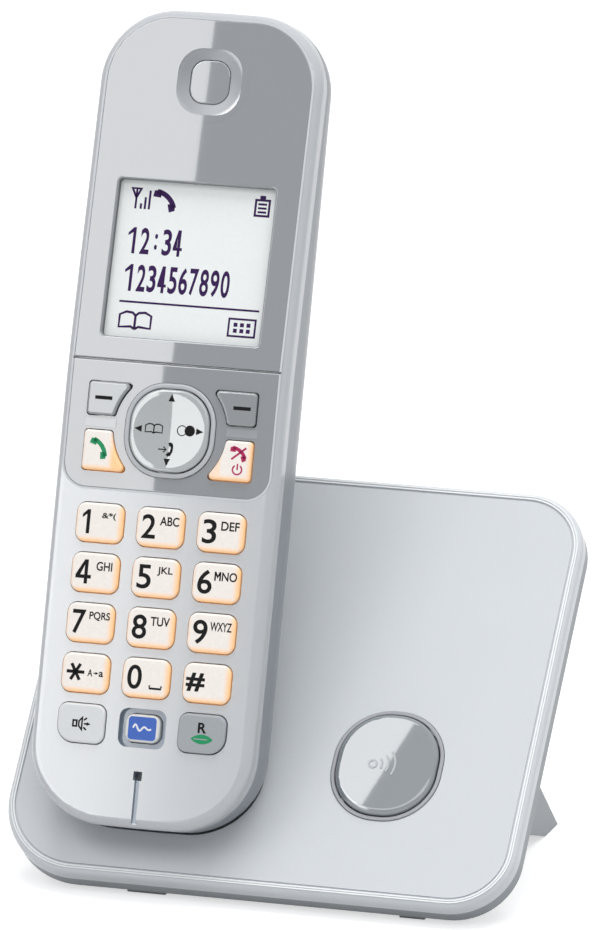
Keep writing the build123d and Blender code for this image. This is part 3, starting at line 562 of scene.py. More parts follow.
# Bridge plates: two slim silver bars set between each soft key and the call
# key below it.
BRIDGE_UP, BRIDGE_WIDE, BRIDGE_HIGH, BRIDGE_THICK = 79.75, 6.4, 1.7, 0.12
bridge_gloss = polished("bridge_gloss", rgb(146, 150, 155))[0]
bridges = []
for bridge_name, bridge_x in (("bridge_left", -14.6), ("bridge_right", 14.9)):
    bridge_bar = filled([level_bar(BRIDGE_WIDE, BRIDGE_HIGH)])
    bridges.append(lay(bridge_name, [bridge_bar], handset_face, (bridge_x, BRIDGE_UP, 0),
                       BRIDGE_THICK, bridge_gloss, "handset"))

# Display: a white reflective liquid crystal behind glass in a deep window,
# lit evenly from its tray, with its figures and signs in dark violet.
GLASS_LEVEL, INK_THICK = -1.75, 0.03
INK_PITS, INK_DRIFT, INK_SPECULAR = 2600.0, 0.1, 0.2
DISPLAY_GLOW = 0.05
HANDLE_MIDDLE, HANDLE_BEND, HANDLE_START, HANDLE_STOP, HANDLE_LINE = (0, -1.45), 1.7, 58, 122, 0.38
EARCAP = [(-0.31, -0.32), (0.31, -0.32), (0.28, 0.14), (0.0, 0.2), (-0.28, 0.14)]
EARCAP_X, EARCAP_UP, EARCAP_TILT = 0.8, -0.06, -34
glass_finish, glass_tree, glass_shader = new_finish("display_white")
glass_grain = use(glass_tree, grain_group, Tone=rgb(236, 239, 239), Pit_Scale=1500.0, Drift=0.02,
                  Gloss=0.12)
feed(glass_tree, glass_shader, {
    "Base Color": glass_grain["Color"], "Roughness": glass_grain["Roughness"],
    "Emission Color": glass_grain["Color"], "Emission Strength": DISPLAY_GLOW,
})
dress(glass_finish, "display_glass")
dress(moulded("tray_white", rgb(226, 228, 228), 3000.0, 0.04, 0.4), "display_tray")
violet_ink = moulded("violet_ink", rgb(54, 28, 78), INK_PITS, INK_DRIFT, 0.5, specular=INK_SPECULAR)


def box(x0, y0, x1, y1):
    """The loop of an upright box."""
    return [(x0, y0), (x1, y0), (x1, y1), (x0, y1)]


def frame_of(x0, y0, x1, y1, line):
    """Two loops of an upright frame."""
    return [box(x0, y0, x1, y1), box(x0 + line, y0 + line, x1 - line, y1 - line)]


def turned(points, turn, shift=(0, 0), size=1.0):
    """A loop grown by a size, turned by degrees and then shifted."""
    rotation = Matrix.Rotation(math.radians(turn), 2)
    return [tuple(rotation @ (Vector(point) * size) + Vector(shift)) for point in points]


def moved(layers, across, up):
    """Shifts layers of loops."""
    return [[[(x + across, y + up) for x, y in loop] for loop in layer] for layer in layers]


def receiver(size, turn):
    """A telephone receiver: a stout, slightly bowed handle with two swollen ends."""
    handle = round_line(HANDLE_MIDDLE, HANDLE_BEND, HANDLE_START, HANDLE_STOP)
    loops = [stroke(handle, HANDLE_LINE)]
    for side in (-1, 1):
        loops.append(turned(EARCAP, EARCAP_TILT * side, (EARCAP_X * side, EARCAP_UP)))
    return [[turned(loop, turn, size=size)] for loop in loops]


def open_book(wide, high, line):
    """An open book in line."""
    half = wide / 2
    left = stroke([(0, -high / 2), (-0.25 * half, -0.36 * high), (-half, -0.42 * high),
                   (-half, 0.3 * high), (-0.6 * half, 0.48 * high), (-0.2 * half, 0.44 * high),
                   (0, 0.28 * high)], line)
    right = [(-x, y) for x, y in left]
    spine = box(-line / 2, -high / 2, line / 2, 0.3 * high)
    return [[left], [right], [spine]]


def figure_one(high, line):
    """The figure 1: an upright with a flag, about its middle."""
    half, flag = high / 2, 0.19 * high
    tip, drop = -line / 2 - flag, half - 1.1 * flag
    return filled([[(line / 2, -half), (line / 2, half), (-line / 3, half), (tip, drop),
                    (tip, drop - line), (-line / 2, half - flag), (-line / 2, -half)]])


def figure_four(wide, high, line):
    """The figure 4: a slanting stroke, a bar and an upright, about its middle."""
    half_wide, half = wide / 2, high / 2
    stem, bar = 0.28 * wide, -0.28 * high
    outline = [(stem - line, -half), (stem, -half), (stem, bar), (half_wide, bar),
               (half_wide, bar + line), (stem, bar + line), (stem, half), (stem - 1.1 * line, half),
               (-half_wide, bar + line), (-half_wide, bar), (stem - line, bar)]
    opening = [(stem - line, bar + line), (stem - line, half - 1.5 * line),
               (1.35 * line - half_wide, bar + line)]
    return filled([outline, opening])


def fitted(mesh, wide, high, centre):
    """Scales a flat mesh to a width and height, about its middle."""
    xs = [vert.co.x for vert in mesh.vertices]
    ys = [vert.co.y for vert in mesh.vertices]
    grow_x = wide / (max(xs) - min(xs))
    grow_y = high / (max(ys) - min(ys))
    middle = ((max(xs) + min(xs)) / 2, (max(ys) + min(ys)) / 2)
    for vert in mesh.vertices:
        vert.co.x = (vert.co.x - middle[0]) * grow_x + centre[0]
        vert.co.y = (vert.co.y - middle[1]) * grow_y + centre[1]
    return mesh


def figures(words, heavy, line, wide, high, pitch, start):
    """A row of figures at an even pitch, each fitted to one width and height."""
    row = []
    for place, figure in enumerate(words):
        centre = (start[0] + pitch * place, start[1])
        if figure in "14":
            mesh = figure_one(high, line) if figure == "1" else figure_four(wide, high, line)
            mesh.transform(Matrix.Translation((*centre, 0)))
        elif figure == ":":
            mesh = fitted(lettered(figure, heavy), line, 0.6 * high, centre)
        else:
            mesh = fitted(lettered(figure, heavy), wide, high, centre)
        row.append(mesh)
    return row


AERIAL_X, AERIAL_LOW, AERIAL_HIGH, AERIAL_LINE = -12.95, 123.2, 127.4, 0.42
AERIAL_CONE = [[(-14.25, 127.45), (-11.75, 127.45), (-12.75, 125.3), (-13.15, 125.3)],
               [(-13.6, 127.1), (-12.4, 127.1), (-12.9, 126.0), (-13.0, 126.0)]]
SIGNAL_BARS, SIGNAL_WIDE = ((-12.05, 124.3), (-11.2, 125.6), (-10.35, 127.0)), 0.45
CALL_SIZE, CALL_TURN, CALL_SPOT = 2.7, -40, (-6.8, 125.4)
BATTERY_BOX, BATTERY_LINE = (11.8, 123.3, 15.1, 126.9), 0.45
BATTERY_CAP = (12.8, 126.9, 14.0, 127.6)
CHARGE_LEFT, CHARGE_RIGHT, CHARGE_HIGH, CHARGE_UPS = 12.55, 14.35, 0.42, (124.05, 124.85, 125.65)
RULE_LINE = (-14.0, 104.25, 15.3, 104.65)
BOOK_SIZE, BOOK_SPOT = (6.6, 3.5, 0.5), (-10.25, 100.75)
MENU_BOX, MENU_LINE = (9.1, 98.95, 15.0, 102.8), 0.4
DOT_LEFT, DOT_LOW, DOT_STEP_X, DOT_STEP_Y, DOT_SIZE = 10.3, 99.85, 1.35, 1.2, 0.8
LCD_HEAVY, LCD_LINE = 0.02, 0.6
# Each row's figure width, height and pitch, and the middle of its first figure.
NUMBER_ROW, TIME_ROW = (1.8, 5.4, 2.2, (-12.2, 109.3)), (1.9, 5.3, 2.3, (-12.4, 116.8))
lcd_layers = [[stroke([(AERIAL_X, AERIAL_LOW), (AERIAL_X, AERIAL_HIGH)], AERIAL_LINE)], AERIAL_CONE]
for bar_x, bar_top in SIGNAL_BARS:
    lcd_layers.append([box(bar_x, AERIAL_LOW, bar_x + SIGNAL_WIDE, bar_top)])
lcd_layers += moved(receiver(CALL_SIZE, CALL_TURN), *CALL_SPOT)
lcd_layers += [frame_of(*BATTERY_BOX, BATTERY_LINE), [box(*BATTERY_CAP)]]
for charge_up in CHARGE_UPS:
    lcd_layers.append([box(CHARGE_LEFT, charge_up, CHARGE_RIGHT, charge_up + CHARGE_HIGH)])
lcd_layers.append([box(*RULE_LINE)])
lcd_layers += moved(open_book(*BOOK_SIZE), *BOOK_SPOT)
lcd_layers.append(frame_of(*MENU_BOX, MENU_LINE))
for column in range(3):
    for row in range(2):
        dot_x, dot_up = DOT_LEFT + DOT_STEP_X * column, DOT_LOW + DOT_STEP_Y * row
        lcd_layers.append([box(dot_x, dot_up, dot_x + DOT_SIZE, dot_up + DOT_SIZE)])
lcd_meshes = [filled(layer) for layer in lcd_layers]
lcd_meshes += figures("1234567890", LCD_HEAVY, LCD_LINE, *NUMBER_ROW)
lcd_meshes += figures("12:34", LCD_HEAVY, LCD_LINE, *TIME_ROW)
lay("display_signs", lcd_meshes, display_face, (0, 0, GLASS_LEVEL), INK_THICK, violet_ink,
    "handset")

# Navigation key: a gloss silver cap, hollow for the thumb, in a bright ring,
# with printed arrows, a book, the redial circles and an incoming call.
NAV_UP, NAV_TOP = 79.1, 0.9
NAV_DISH_WIDE, NAV_DISH_DEEP = 14.8, 0.3
NAV_ARROWS = ((0, 6.6, 0), (0.1, -6.3, 180), (-6.45, 0.05, 90), (6.4, 0.25, -90))
NAV_BOOK_SIZE, NAV_BOOK_SPOT = (3.5, 1.9, 0.26), (-3.2, 0.25)
REDIAL_OPEN, REDIAL_OPEN_RADIUS, REDIAL_LINE = (2.65, 0.25), 0.98, 0.2
REDIAL_FULL, REDIAL_FULL_RADIUS = (4.3, 0.3), 1.1
INCOMING_SHAFT = [(-1.9, -3.75), (-0.4, -3.75)]
INCOMING_HEAD, INCOMING_LINE = [(-0.85, -3.2), (-0.25, -3.75), (-0.85, -4.3)], 0.24
INCOMING_SIZE, INCOMING_TURN, INCOMING_SPOT = 1.35, -98, (0.55, -3.7)
dress(painted("nav_silver", rgb(184, 187, 191), 0.03, 0.1, 1.0), "nav_ring")
dress(polished("nav_gloss", rgb(166, 171, 173))[0], "nav_key")
black_ink = moulded("black_ink", rgb(14, 14, 16), INK_PITS, INK_DRIFT, 0.5, specular=INK_SPECULAR)


def arrow_head(across, up, turn, size=0.75):
    """A small solid triangle."""
    points = [(0, size), (-size * 0.9, -size), (size * 0.9, -size)]
    return [turned(points, turn, (across, up))]


def nav_dish(across, up):
    """How far the key's hollow top lies below its rim, as a height."""
    share = (across ** 2 + up ** 2) / (NAV_DISH_WIDE / 2) ** 2
    return -NAV_DISH_DEEP * max(0.0, 1.0 - share)


nav_layers = [arrow_head(*arrow) for arrow in NAV_ARROWS]
nav_layers += moved(open_book(*NAV_BOOK_SIZE), *NAV_BOOK_SPOT)
nav_layers.append(ring(REDIAL_OPEN, REDIAL_OPEN_RADIUS, REDIAL_LINE))
nav_layers.append([circle(REDIAL_FULL, REDIAL_FULL_RADIUS)])
nav_layers += [[stroke(line, INCOMING_LINE)] for line in (INCOMING_SHAFT, INCOMING_HEAD)]
nav_layers += moved(receiver(INCOMING_SIZE, INCOMING_TURN), *INCOMING_SPOT)
lay("nav_signs", [filled(layer) for layer in nav_layers], handset_face, (0, NAV_UP, NAV_TOP),
    INK_THICK, black_ink, "nav_key", nav_dish)

# Soft keys: gloss grey caps beside the navigation key, flat on top, each with
# a printed dash.
KEY_TOP, SOFT_UP = 0.8, 84.65
SOFT_DASH = (-1.8, -0.36, 1.8, 0.36)


def print_key(name, meshes, across, up, ink, key):
    """Prints marks on the top of a key of the handset."""
    lay(name, meshes, handset_face, (across, up, KEY_TOP), INK_THICK, ink, key)


soft_grey, soft_tree, soft_shader = polished("soft_gloss", rgb(128, 133, 137))[:3]
soft_flat = put(soft_tree, "ShaderNodeNewGeometry").outputs["True Normal"]
feed(soft_tree, soft_shader, {"Normal": soft_flat, "Coat Normal": soft_flat})
for soft_name, soft_x in (("soft_key_left", -14.2), ("soft_key_right", 14.7)):
    dress(soft_grey, soft_name)
    dash = filled([box(*SOFT_DASH)])
    print_key(f"{soft_name}_dash", [dash], soft_x, SOFT_UP, black_ink, soft_name)

# Dial keys: translucent ivory caps; the amber of the lamps under them is painted
# on as a glow, in colour and in emission, at their right and lower edges and
# their skirts, with figures and letters printed in black.
GLOW_REACH_RIGHT, GLOW_REACH_LOW, GLOW_REACH_LEFT, GLOW_LEFT_SHARE = 1.5, 1.35, 0.8, 0.45
GLOW_CLOUD, GLOW_DETAIL, GLOW_SHADE, GLOW_TONE = 700.0, 3.0, 0.16, 0.9
CAP_GRAIN_ROUGH, CAP_ROUGH = 0.14, 0.2
CAP_IVORY, CAP_GLOW_AMBER, GLOW_EMISSION_AMBER = rgb(254, 246, 239), rgb(252, 205, 153), rgb(255, 170, 90)
DARK, GLOW_EMISSION_STRENGTH = (0, 0, 0, 1), 0.2
glow_group, glow_in, glow_out = new_group(
    "amber_glow",
    [("Ivory", "c"), ("Amber", "c"), ("Across", "f"), ("Up", "f"), ("Half Wide", "f"),
     ("Half High", "f")],
    [("Color", "c"), ("Glow", "f"), ("Roughness", "f")],
)
glow_place = place_of(glow_group)
glow_x = put(glow_group, "ShaderNodeSeparateXYZ", {"Vector": glow_place}).outputs["X"]
glow_side = reckon(glow_group, "SUBTRACT", glow_x, glow_in["Across"])
glow_rise = reckon(glow_group, "SUBTRACT", along_axis(glow_group, glow_place, handset_axes[1]),
                   glow_in["Up"])


def near_edge(sign, distance, half, reach):
    """One where a place is at an edge, falling to nothing over a reach."""
    return ramp(glow_group, reckon(glow_group, sign, half, distance), 0.0, reach * MM, 1.0, 0.0,
                "SMOOTHSTEP")


# Painted glow: amber colour and emission, strongest at the key's right and lower edges and weaker
# at its left.
glow_right = near_edge("SUBTRACT", glow_side, glow_in["Half Wide"], GLOW_REACH_RIGHT)
glow_low = near_edge("ADD", glow_rise, glow_in["Half High"], GLOW_REACH_LOW)
glow_left = near_edge("ADD", glow_side, glow_in["Half Wide"], GLOW_REACH_LEFT)
glow_mask = reckon(glow_group, "MAXIMUM", reckon(glow_group, "MAXIMUM", glow_right, glow_low),
                   reckon(glow_group, "MULTIPLY", glow_left, GLOW_LEFT_SHARE))
glow_noise = noise(glow_group, glow_place, GLOW_CLOUD, GLOW_DETAIL)
glow_even = reckon(glow_group, "MULTIPLY_ADD", glow_noise, GLOW_SHADE, GLOW_TONE)
glow_share = reckon(glow_group, "MULTIPLY", glow_mask, glow_even, use_clamp=True)
feed(glow_group, glow_out, {
    "Color": mixed(glow_group, glow_share, glow_in["Ivory"], glow_in["Amber"]),
    "Glow": glow_share,
    "Roughness": reckon(glow_group, "MULTIPLY_ADD", glow_noise, CAP_GRAIN_ROUGH, CAP_ROUGH),
})


def ivory_key(name, across, up, wide, high):
    """Dresses one ivory key, its glow set by where the key stands."""
    finish, tree, shader = new_finish(f"{name}_ivory")
    centre = on_face(handset_face, across, up, 0)
    glow = use(tree, glow_group, Ivory=CAP_IVORY, Amber=CAP_GLOW_AMBER, Across=centre.x * MM,
               Up=centre.dot(handset_axes[1]) * MM, Half_Wide=wide / 2 * MM,
               Half_High=high / 2 * MM)
    feed(tree, shader, {
        "Base Color": glow["Color"], "Roughness": glow["Roughness"],
        "Emission Color": mixed(tree, glow["Glow"], DARK, GLOW_EMISSION_AMBER),
        "Emission Strength": GLOW_EMISSION_STRENGTH,
    })
    dress(finish, name)


DIAL_X, DIAL_Y, DIAL_TOP = 12.67, 9.985, 59.8
DIAL_WIDE, DIAL_HIGH = 9.8, 7.8
FIGURE_HEAVY, FIGURE_LINE, FIGURE_TALL, FIGURE_SPOT = 0.012, 0.7, 4.8, (-2.3, 0.1)
HASH_HEAVY, HASH_TALL = 0.03, 3.7
LETTER_HEAVY, LETTER_LINE, LETTER_SPOT = 0.018, 0.33, (1.95, 1.35)
M_WIDE, M_SPOT, NO_WIDE, NO_SPOT = 1.36, (0.28, 1.35), 3.15, (2.73, 1.35)
STAR_BAR, STAR_SPOT, STAR_TURNS = (-1.85, -0.32, 1.85, 0.32), (-2.0, 0.1), (0, 60, 120)
CAPITAL_A, SMALL_A = (1.05, 1.4, (1.05, 0.1)), (0.9, 1.05, (3.35, -0.05))
CASE_SHAFT, CASE_HEAD = (1.75, -0.03, 2.45, 0.17), (2.5, 0.07, -90, 0.32)
SPACE_LINE, SPACE_WIDE = [(0.95, -1.35), (0.95, -1.95), (3.35, -1.95), (3.35, -1.35)], 0.42
# Each key, its figure and the figure's width, its letters and their width and height.
dial_legends = [
    ("key_1", "1", 1.9, "&*(", 3.0, 1.5), ("key_2", "2", 2.9, "ABC", 4.0, 1.8),
    ("key_3", "3", 2.9, "DEF", 3.8, 1.8), ("key_4", "4", 3.2, "GHI", 3.3, 1.8),
    ("key_5", "5", 2.9, "JKL", 3.2, 1.8), ("key_6", "6", 3.0, "MNO", 4.7, 1.8),
    ("key_7", "7", 2.8, "PQRS", 4.3, 1.8), ("key_8", "8", 3.0, "TUV", 4.0, 1.8),
    ("key_9", "9", 3.0, "WXYZ", 4.5, 1.8), ("key_star", "", 0, "", 0, 0),
    ("key_0", "0", 3.0, "", 0, 0), ("key_hash", "#", 3.9, "", 0, 0),
]


def letter_m(wide, high, line, centre):
    """The letter M: two uprights and two slanting strokes."""
    half_wide, half = wide / 2, high / 2
    dip = -0.25 * high
    right = [(half_wide - line, half - 2.2 * line), (half_wide - line, -half), (half_wide, -half),
             (half_wide, half), (half_wide - line, half)]
    left = [(-x, y) for x, y in right[::-1]]
    loop = [(0, dip)] + right + [(0, dip + 1.9 * line)] + left
    return filled([[(x + centre[0], y + centre[1]) for x, y in loop]])


for index, (key_name, figure, figure_wide, letters, wide, high) in enumerate(dial_legends):
    key_x = (index % 3 - 1) * DIAL_X
    key_up = DIAL_TOP - index // 3 * DIAL_Y
    ivory_key(key_name, key_x, key_up, DIAL_WIDE, DIAL_HIGH)
    heavy, tall = (HASH_HEAVY, HASH_TALL) if figure == "#" else (FIGURE_HEAVY, FIGURE_TALL)
    prints = figures(figure, heavy, FIGURE_LINE, figure_wide, tall, 0.0, FIGURE_SPOT)
    if letters == "MNO":
        prints.append(letter_m(M_WIDE, high, LETTER_LINE, M_SPOT))
        prints.append(fitted(lettered("NO", LETTER_HEAVY), NO_WIDE, high, NO_SPOT))
    elif letters:
        prints.append(fitted(lettered(letters, LETTER_HEAVY), wide, high, LETTER_SPOT))
    if key_name == "key_star":
        prints += [filled([turned(box(*STAR_BAR), arm, STAR_SPOT)]) for arm in STAR_TURNS]
        prints.append(fitted(lettered("A", LETTER_HEAVY), *CAPITAL_A))
        prints.append(fitted(lettered("a", LETTER_HEAVY), *SMALL_A))
        prints += [filled([box(*CASE_SHAFT)]), filled(arrow_head(*CASE_HEAD))]
    if key_name == "key_0":
        prints.append(filled([stroke(SPACE_LINE, SPACE_WIDE)]))
    print_key(f"{key_name}_print", prints, key_x, key_up, black_ink, key_name)

# Talk and off keys: two more ivory caps, one with a green receiver, one with a
# crimson receiver struck through over a power sign.
CALL_KEY_X, CALL_KEY_UP, CALL_KEY_WIDE, CALL_KEY_HIGH = 14.35, 74.2, 6.9, 8.0
TALK_SIZE, TALK_TURN, TALK_SPOT = 2.3, -52, (-14.1, 74.7)
OFF_SIZE, OFF_TURN, OFF_RISE, OFF_SPOT = 1.9, -38, 1.6, (14.95, 74.2)
STRIKE_LINE, STRIKE_WIDE = [(-1.5, 0.3), (1.4, 2.7)], 0.4
POWER_MIDDLE, POWER_RADIUS, POWER_START, POWER_STOP, POWER_LINE = (-0.1, -1.7), 0.95, 125, 415, 0.32
POWER_BAR = (-0.26, -1.75, 0.06, -0.5)
ivory_key("talk_key", -CALL_KEY_X, CALL_KEY_UP, CALL_KEY_WIDE, CALL_KEY_HIGH)
ivory_key("off_key", CALL_KEY_X, CALL_KEY_UP, CALL_KEY_WIDE, CALL_KEY_HIGH)
green_ink = moulded("green_ink", rgb(0, 140, 88), INK_PITS, INK_DRIFT, 0.35)
crimson_ink = moulded("crimson_ink", rgb(176, 24, 88), INK_PITS, INK_DRIFT, 0.35)
talk_meshes = [filled(layer) for layer in receiver(TALK_SIZE, TALK_TURN)]
print_key("talk_sign", talk_meshes, *TALK_SPOT, green_ink, "talk_key")
off_layers = moved(receiver(OFF_SIZE, OFF_TURN), 0, OFF_RISE)
off_layers.append([stroke(STRIKE_LINE, STRIKE_WIDE)])
power_arc = round_line(POWER_MIDDLE, POWER_RADIUS, POWER_START, POWER_STOP)
off_layers += [[stroke(power_arc, POWER_LINE)], [box(*POWER_BAR)]]
print_key("off_sign", [filled(layer) for layer in off_layers], *OFF_SPOT, crimson_ink, "off_key")

# Lowest row: a silver speaker key, a recessed ivory key with a blue badge, and
# a grey recall key with a letter and a green leaf.
FUNCTION_UP = 19.86
SPEAKER_SPOT, SPEAKER_LINE = (-12.5, FUNCTION_UP - 0.1), 0.34
SPEAKER_HORN = [[(-0.62, -0.55), (0.35, -1.6), (0.35, 1.6), (-0.62, 0.55)],
                [(-0.3, -0.42), (0.03, -0.78), (0.03, 0.78), (-0.3, 0.42)]]
SPEAKER_BACK, SPEAKER_BACK_LINE = (-1.85, -0.75, -0.75, 0.75), 0.35
SOUND_LINES = [[(0.6, 0.0), (1.4, 0.0)], [(0.55, 0.7), (1.15, 1.2)], [(0.55, -0.7), (1.15, -1.2)]]
SOUND_HEAD = (1.6, 0.0, -90, 0.42)
RECALL_SPOT, RECALL_HEAVY, RECALL_LETTER = (12.6, FUNCTION_UP), 0.028, (1.8, 2.1, (0.1, 1.15))
LEAF_X, LEAF_HALF, LEAF_RISE, LEAF_UP = 0.2, 2.3, 0.95, -1.1
VEIN_LEFT, VEIN_RIGHT, VEIN_LINE = -1.5, 1.3, 0.22
dress(painted("speaker_silver", rgb(222, 224, 226), 0.05, 0.16, 0.6), "speaker_key")
dress(painted("recall_grey", rgb(160, 165, 170), 0.05, 0.1, 0.8), "recall_key")
dress(moulded("centre_ivory", rgb(226, 226, 224), 3000.0, 0.05, 0.25), "centre_key")
speaker_layers = [frame_of(*SPEAKER_BACK, SPEAKER_BACK_LINE), SPEAKER_HORN, arrow_head(*SOUND_HEAD)]
speaker_layers += [[stroke(line, SPEAKER_LINE)] for line in SOUND_LINES]
print_key("speaker_sign", [filled(layer) for layer in speaker_layers], *SPEAKER_SPOT, black_ink,
          "speaker_key")
print_key("recall_letter", [fitted(lettered("R", RECALL_HEAVY), *RECALL_LETTER)], *RECALL_SPOT,
          black_ink, "recall_key")
leaf_bend = (LEAF_HALF ** 2 + LEAF_RISE ** 2) / (2 * LEAF_RISE)
leaf_turn = math.degrees(math.acos(LEAF_HALF / leaf_bend))
leaf_drop = LEAF_RISE - leaf_bend
leaf = round_line((LEAF_X, LEAF_UP + leaf_drop), leaf_bend, leaf_turn, 180 - leaf_turn, 16)
leaf += round_line((LEAF_X, LEAF_UP - leaf_drop), leaf_bend, 180 + leaf_turn, 360 - leaf_turn,
                   16)[1:-1]
vein = stroke([(VEIN_LEFT, LEAF_UP), (VEIN_RIGHT, LEAF_UP)], VEIN_LINE)
print_key("recall_leaf", [filled([leaf, vein])], *RECALL_SPOT, green_ink, "recall_key")

# Badge on the centre key: a blue lacquered plate glued into the cap, with a
# white wave printed on it.
BADGE_TOP, BADGE_THICK, BADGE_HALF_WIDE, BADGE_HALF_HIGH, BADGE_CORNER = -0.1, 0.04, 2.9, 2.3, 0.7
WAVE_START, WAVE_STEP, WAVE_STEPS, WAVE_LINE, WAVE_RISE = -1.9, 0.1, 39, 0.36, 0.03
WAVE_HIGH, WAVE_TURN, WAVE_FADE = 0.9, 0.33, 22
badge_blue = moulded("badge_blue", rgb(66, 104, 190), INK_PITS, 0.08, 0.25)
badge_white = moulded("badge_white", rgb(236, 238, 244), INK_PITS, 0.05, 0.3)
badge_loop = rounded_box(BADGE_HALF_WIDE, BADGE_HALF_HIGH, BADGE_CORNER, BADGE_CORNER, 6)
lay("centre_badge", [filled([badge_loop])], handset_face, (0, FUNCTION_UP, BADGE_TOP), BADGE_THICK,
    badge_blue, "centre_key")
wave = [(WAVE_START + WAVE_STEP * step,
         WAVE_HIGH * math.sin(step * WAVE_TURN) * math.exp(-step / WAVE_FADE))
        for step in range(WAVE_STEPS)]
lay("centre_wave", [filled([stroke(wave, WAVE_LINE)])], handset_face,
    (0, FUNCTION_UP, BADGE_TOP + WAVE_RISE), INK_THICK, badge_white, "centre_key")

# Floor: a pale board that takes the object's shadow and is otherwise as white
# as the studio round it.
FLOOR_SIZE, FLOOR_TILES, FLOOR_GREY, FLOOR_LIGHT = 4.0, 8, (0.62, 0.62, 0.62, 1), 0.6
FLOOR_ROUGH, WHITE = 0.9, (1, 1, 1, 1)


def seen_directly(tree):
    """One for what the camera sees, straight, mirrored or through glass."""
    rays = put(tree, "ShaderNodeLightPath").outputs
    plain = reckon(tree, "MAXIMUM", rays["Is Camera Ray"], rays["Is Glossy Ray"])
    return reckon(tree, "MAXIMUM", plain, rays["Is Transmission Ray"])


floor_mesh = bpy.data.meshes.new("floor")
floor_shape = bmesh.new()
bmesh.ops.create_grid(floor_shape, x_segments=FLOOR_TILES, y_segments=FLOOR_TILES, size=FLOOR_SIZE)
floor_shape.to_mesh(floor_mesh)
floor_shape.free()
floor = bpy.data.objects.new("floor", floor_mesh)
bpy.context.scene.collection.objects.link(floor)
floor_finish, floor_tree, floor_shader = new_finish("pale_floor")
floor_grain = use(floor_tree, grain_group, Tone=FLOOR_GREY, Pit_Scale=300.0, Drift=0.01, Gloss=0.7)
feed(floor_tree, floor_shader, {
    "Base Color": floor_grain["Color"], "Roughness": FLOOR_ROUGH, "Specular IOR Level": 0.0,
    "Emission Color": mixed(floor_tree, seen_directly(floor_tree), DARK, WHITE),
    "Emission Strength": FLOOR_LIGHT,
})
floor_mesh.materials.append(floor_finish)

# Studio: a white room that lights the object softly, four softboxes that the
# gloss faces mirror, and two lamps, overhead and behind, that only light it.
ROOM_TONE, ROOM_LIGHT = (0.96, 0.98, 1.0, 1), 0.5
world = bpy.data.worlds.new("studio")
bpy.context.scene.world = world
world.use_nodes = True
world_tree = world.node_tree
room_light = feed(world_tree, world_tree.nodes["Background"],
                  {"Color": ROOM_TONE, "Strength": ROOM_LIGHT})
room_white = put(world_tree, "ShaderNodeBackground", {"Color": WHITE, "Strength": 1.0})
room = put(world_tree, "ShaderNodeMixShader",
           {0: seen_directly(world_tree), 1: room_light.outputs[0], 2: room_white.outputs[0]})
feed(world_tree, world_tree.nodes["World Output"], {"Surface": room.outputs[0]})


def area_lamp(name, wide, high, radiance):
    """A flat lamp that the camera can't see, in metres."""
    lamp = bpy.data.lights.new(name, "AREA")
    lamp.shape = "RECTANGLE"
    lamp.size = wide
    lamp.size_y = high
    lamp.energy = radiance * math.pi * wide * high
    holder = bpy.data.objects.new(name, lamp)
    holder.visible_camera = False
    bpy.context.scene.collection.objects.link(holder)
    return holder


def softbox(name, edge, along, inward, wide, high, radiance, mirrors):
    """A lamp whose right edge passes through a point; mirrors are all that it shows in."""
    along = Vector(along).normalized()
    inward = Vector(inward)
    inward = (inward - along * inward.dot(along)).normalized()
    facing = inward.cross(along)
    centre = Vector(edge) + inward * wide / 2
    if facing.dot(-centre) < 0:
        facing = -facing
    holder = area_lamp(name, wide, high, radiance)
    turn = Matrix((along.cross(-facing), along, -facing)).transposed()
    holder.matrix_world = Matrix.Translation(centre) @ turn.to_4x4()
    if mirrors:
        holder.visible_diffuse = False
        holder.light_linking.receiver_collection = mirrors


def fill_lamp(name, place, tip, wide, high, radiance):
    """A lamp that lights the object and that no gloss face mirrors; tip in degrees."""
    holder = area_lamp(name, wide, high, radiance)
    holder.location = place
    holder.rotation_euler = (math.radians(tip), 0, 0)
    holder.visible_glossy = False


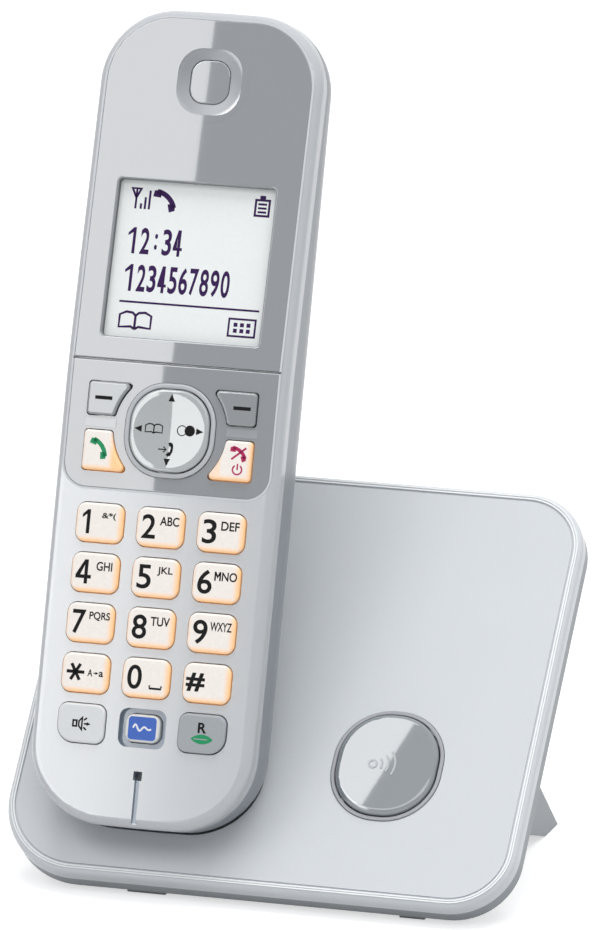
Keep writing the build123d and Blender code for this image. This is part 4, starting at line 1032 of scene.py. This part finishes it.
GLOSS_PIECES = ("display_panel", "control_panel", "earpiece_pad", "nav_key", "soft_key_left",
                "soft_key_right", "page_button")
mirrored = bpy.data.collections.new("mirrored")
for gloss_piece in [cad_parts[name] for name in GLOSS_PIECES] + [earpiece_rim] + bridges:
    mirrored.objects.link(gloss_piece)
front_only = bpy.data.collections.new("front_only")
front_only.objects.link(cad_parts["front_housing"])
LEFT_ALONG, LEFT_INWARD = (0.02, 0.4, 0.9165), (-0.838, 0.5, -0.218)
softbox("key_softbox", edge=(-0.2079, -0.5335, 0.3225), along=LEFT_ALONG, inward=LEFT_INWARD,
        wide=0.16, high=0.486, radiance=3.0, mirrors=mirrored)
softbox("top_softbox", edge=(-0.146, -0.251, 0.554), along=(0.373, 0.66, 0.654),
        inward=(-0.846, 0.483, -0.005), wide=0.18, high=0.4, radiance=3.4, mirrors=mirrored)
softbox("front_softbox", edge=(-0.191, -0.52, 0.233), along=LEFT_ALONG, inward=LEFT_INWARD,
        wide=0.5, high=0.9, radiance=4.6, mirrors=front_only)
softbox("sky_softbox", edge=(1.2, -1.174, 1.383), along=(0, 0.74, 0.67), inward=(-1, 0, 0),
        wide=2.4, high=0.75, radiance=1.6, mirrors=None)
fill_lamp("overhead_softbox", place=(0.2, 0.1, 1.6), tip=0, wide=1.4, high=1.0, radiance=3.9)
fill_lamp("rear_softbox", place=(-0.1, 1.5, 0.9), tip=-59, wide=1.6, high=1.0, radiance=1.0)

# Camera: far off with a long lens, where a fit to the keys, edges and feet in
# the photo puts it.
FOCAL_PIXELS, LONG_SIDE, SENSOR_WIDE, NEAREST = 9811.7, 930, 36.0, 0.01
CAMERA_PLACE = Vector((575.6, -1802.07, 583.05)) * MM
CAMERA_TURN, CAMERA_DIP = math.radians(17.7485), math.radians(14.8221)
camera_data = bpy.data.cameras.new("camera")
camera_data.sensor_width = SENSOR_WIDE
camera_data.lens = FOCAL_PIXELS * SENSOR_WIDE / LONG_SIDE
camera_data.clip_start = NEAREST
camera = bpy.data.objects.new("camera", camera_data)
camera.location = CAMERA_PLACE
camera.rotation_euler = (math.pi / 2 - CAMERA_DIP, 0, CAMERA_TURN)
bpy.context.scene.collection.objects.link(camera)
bpy.context.scene.camera = camera
bpy.context.scene.view_settings.view_transform = "Standard"
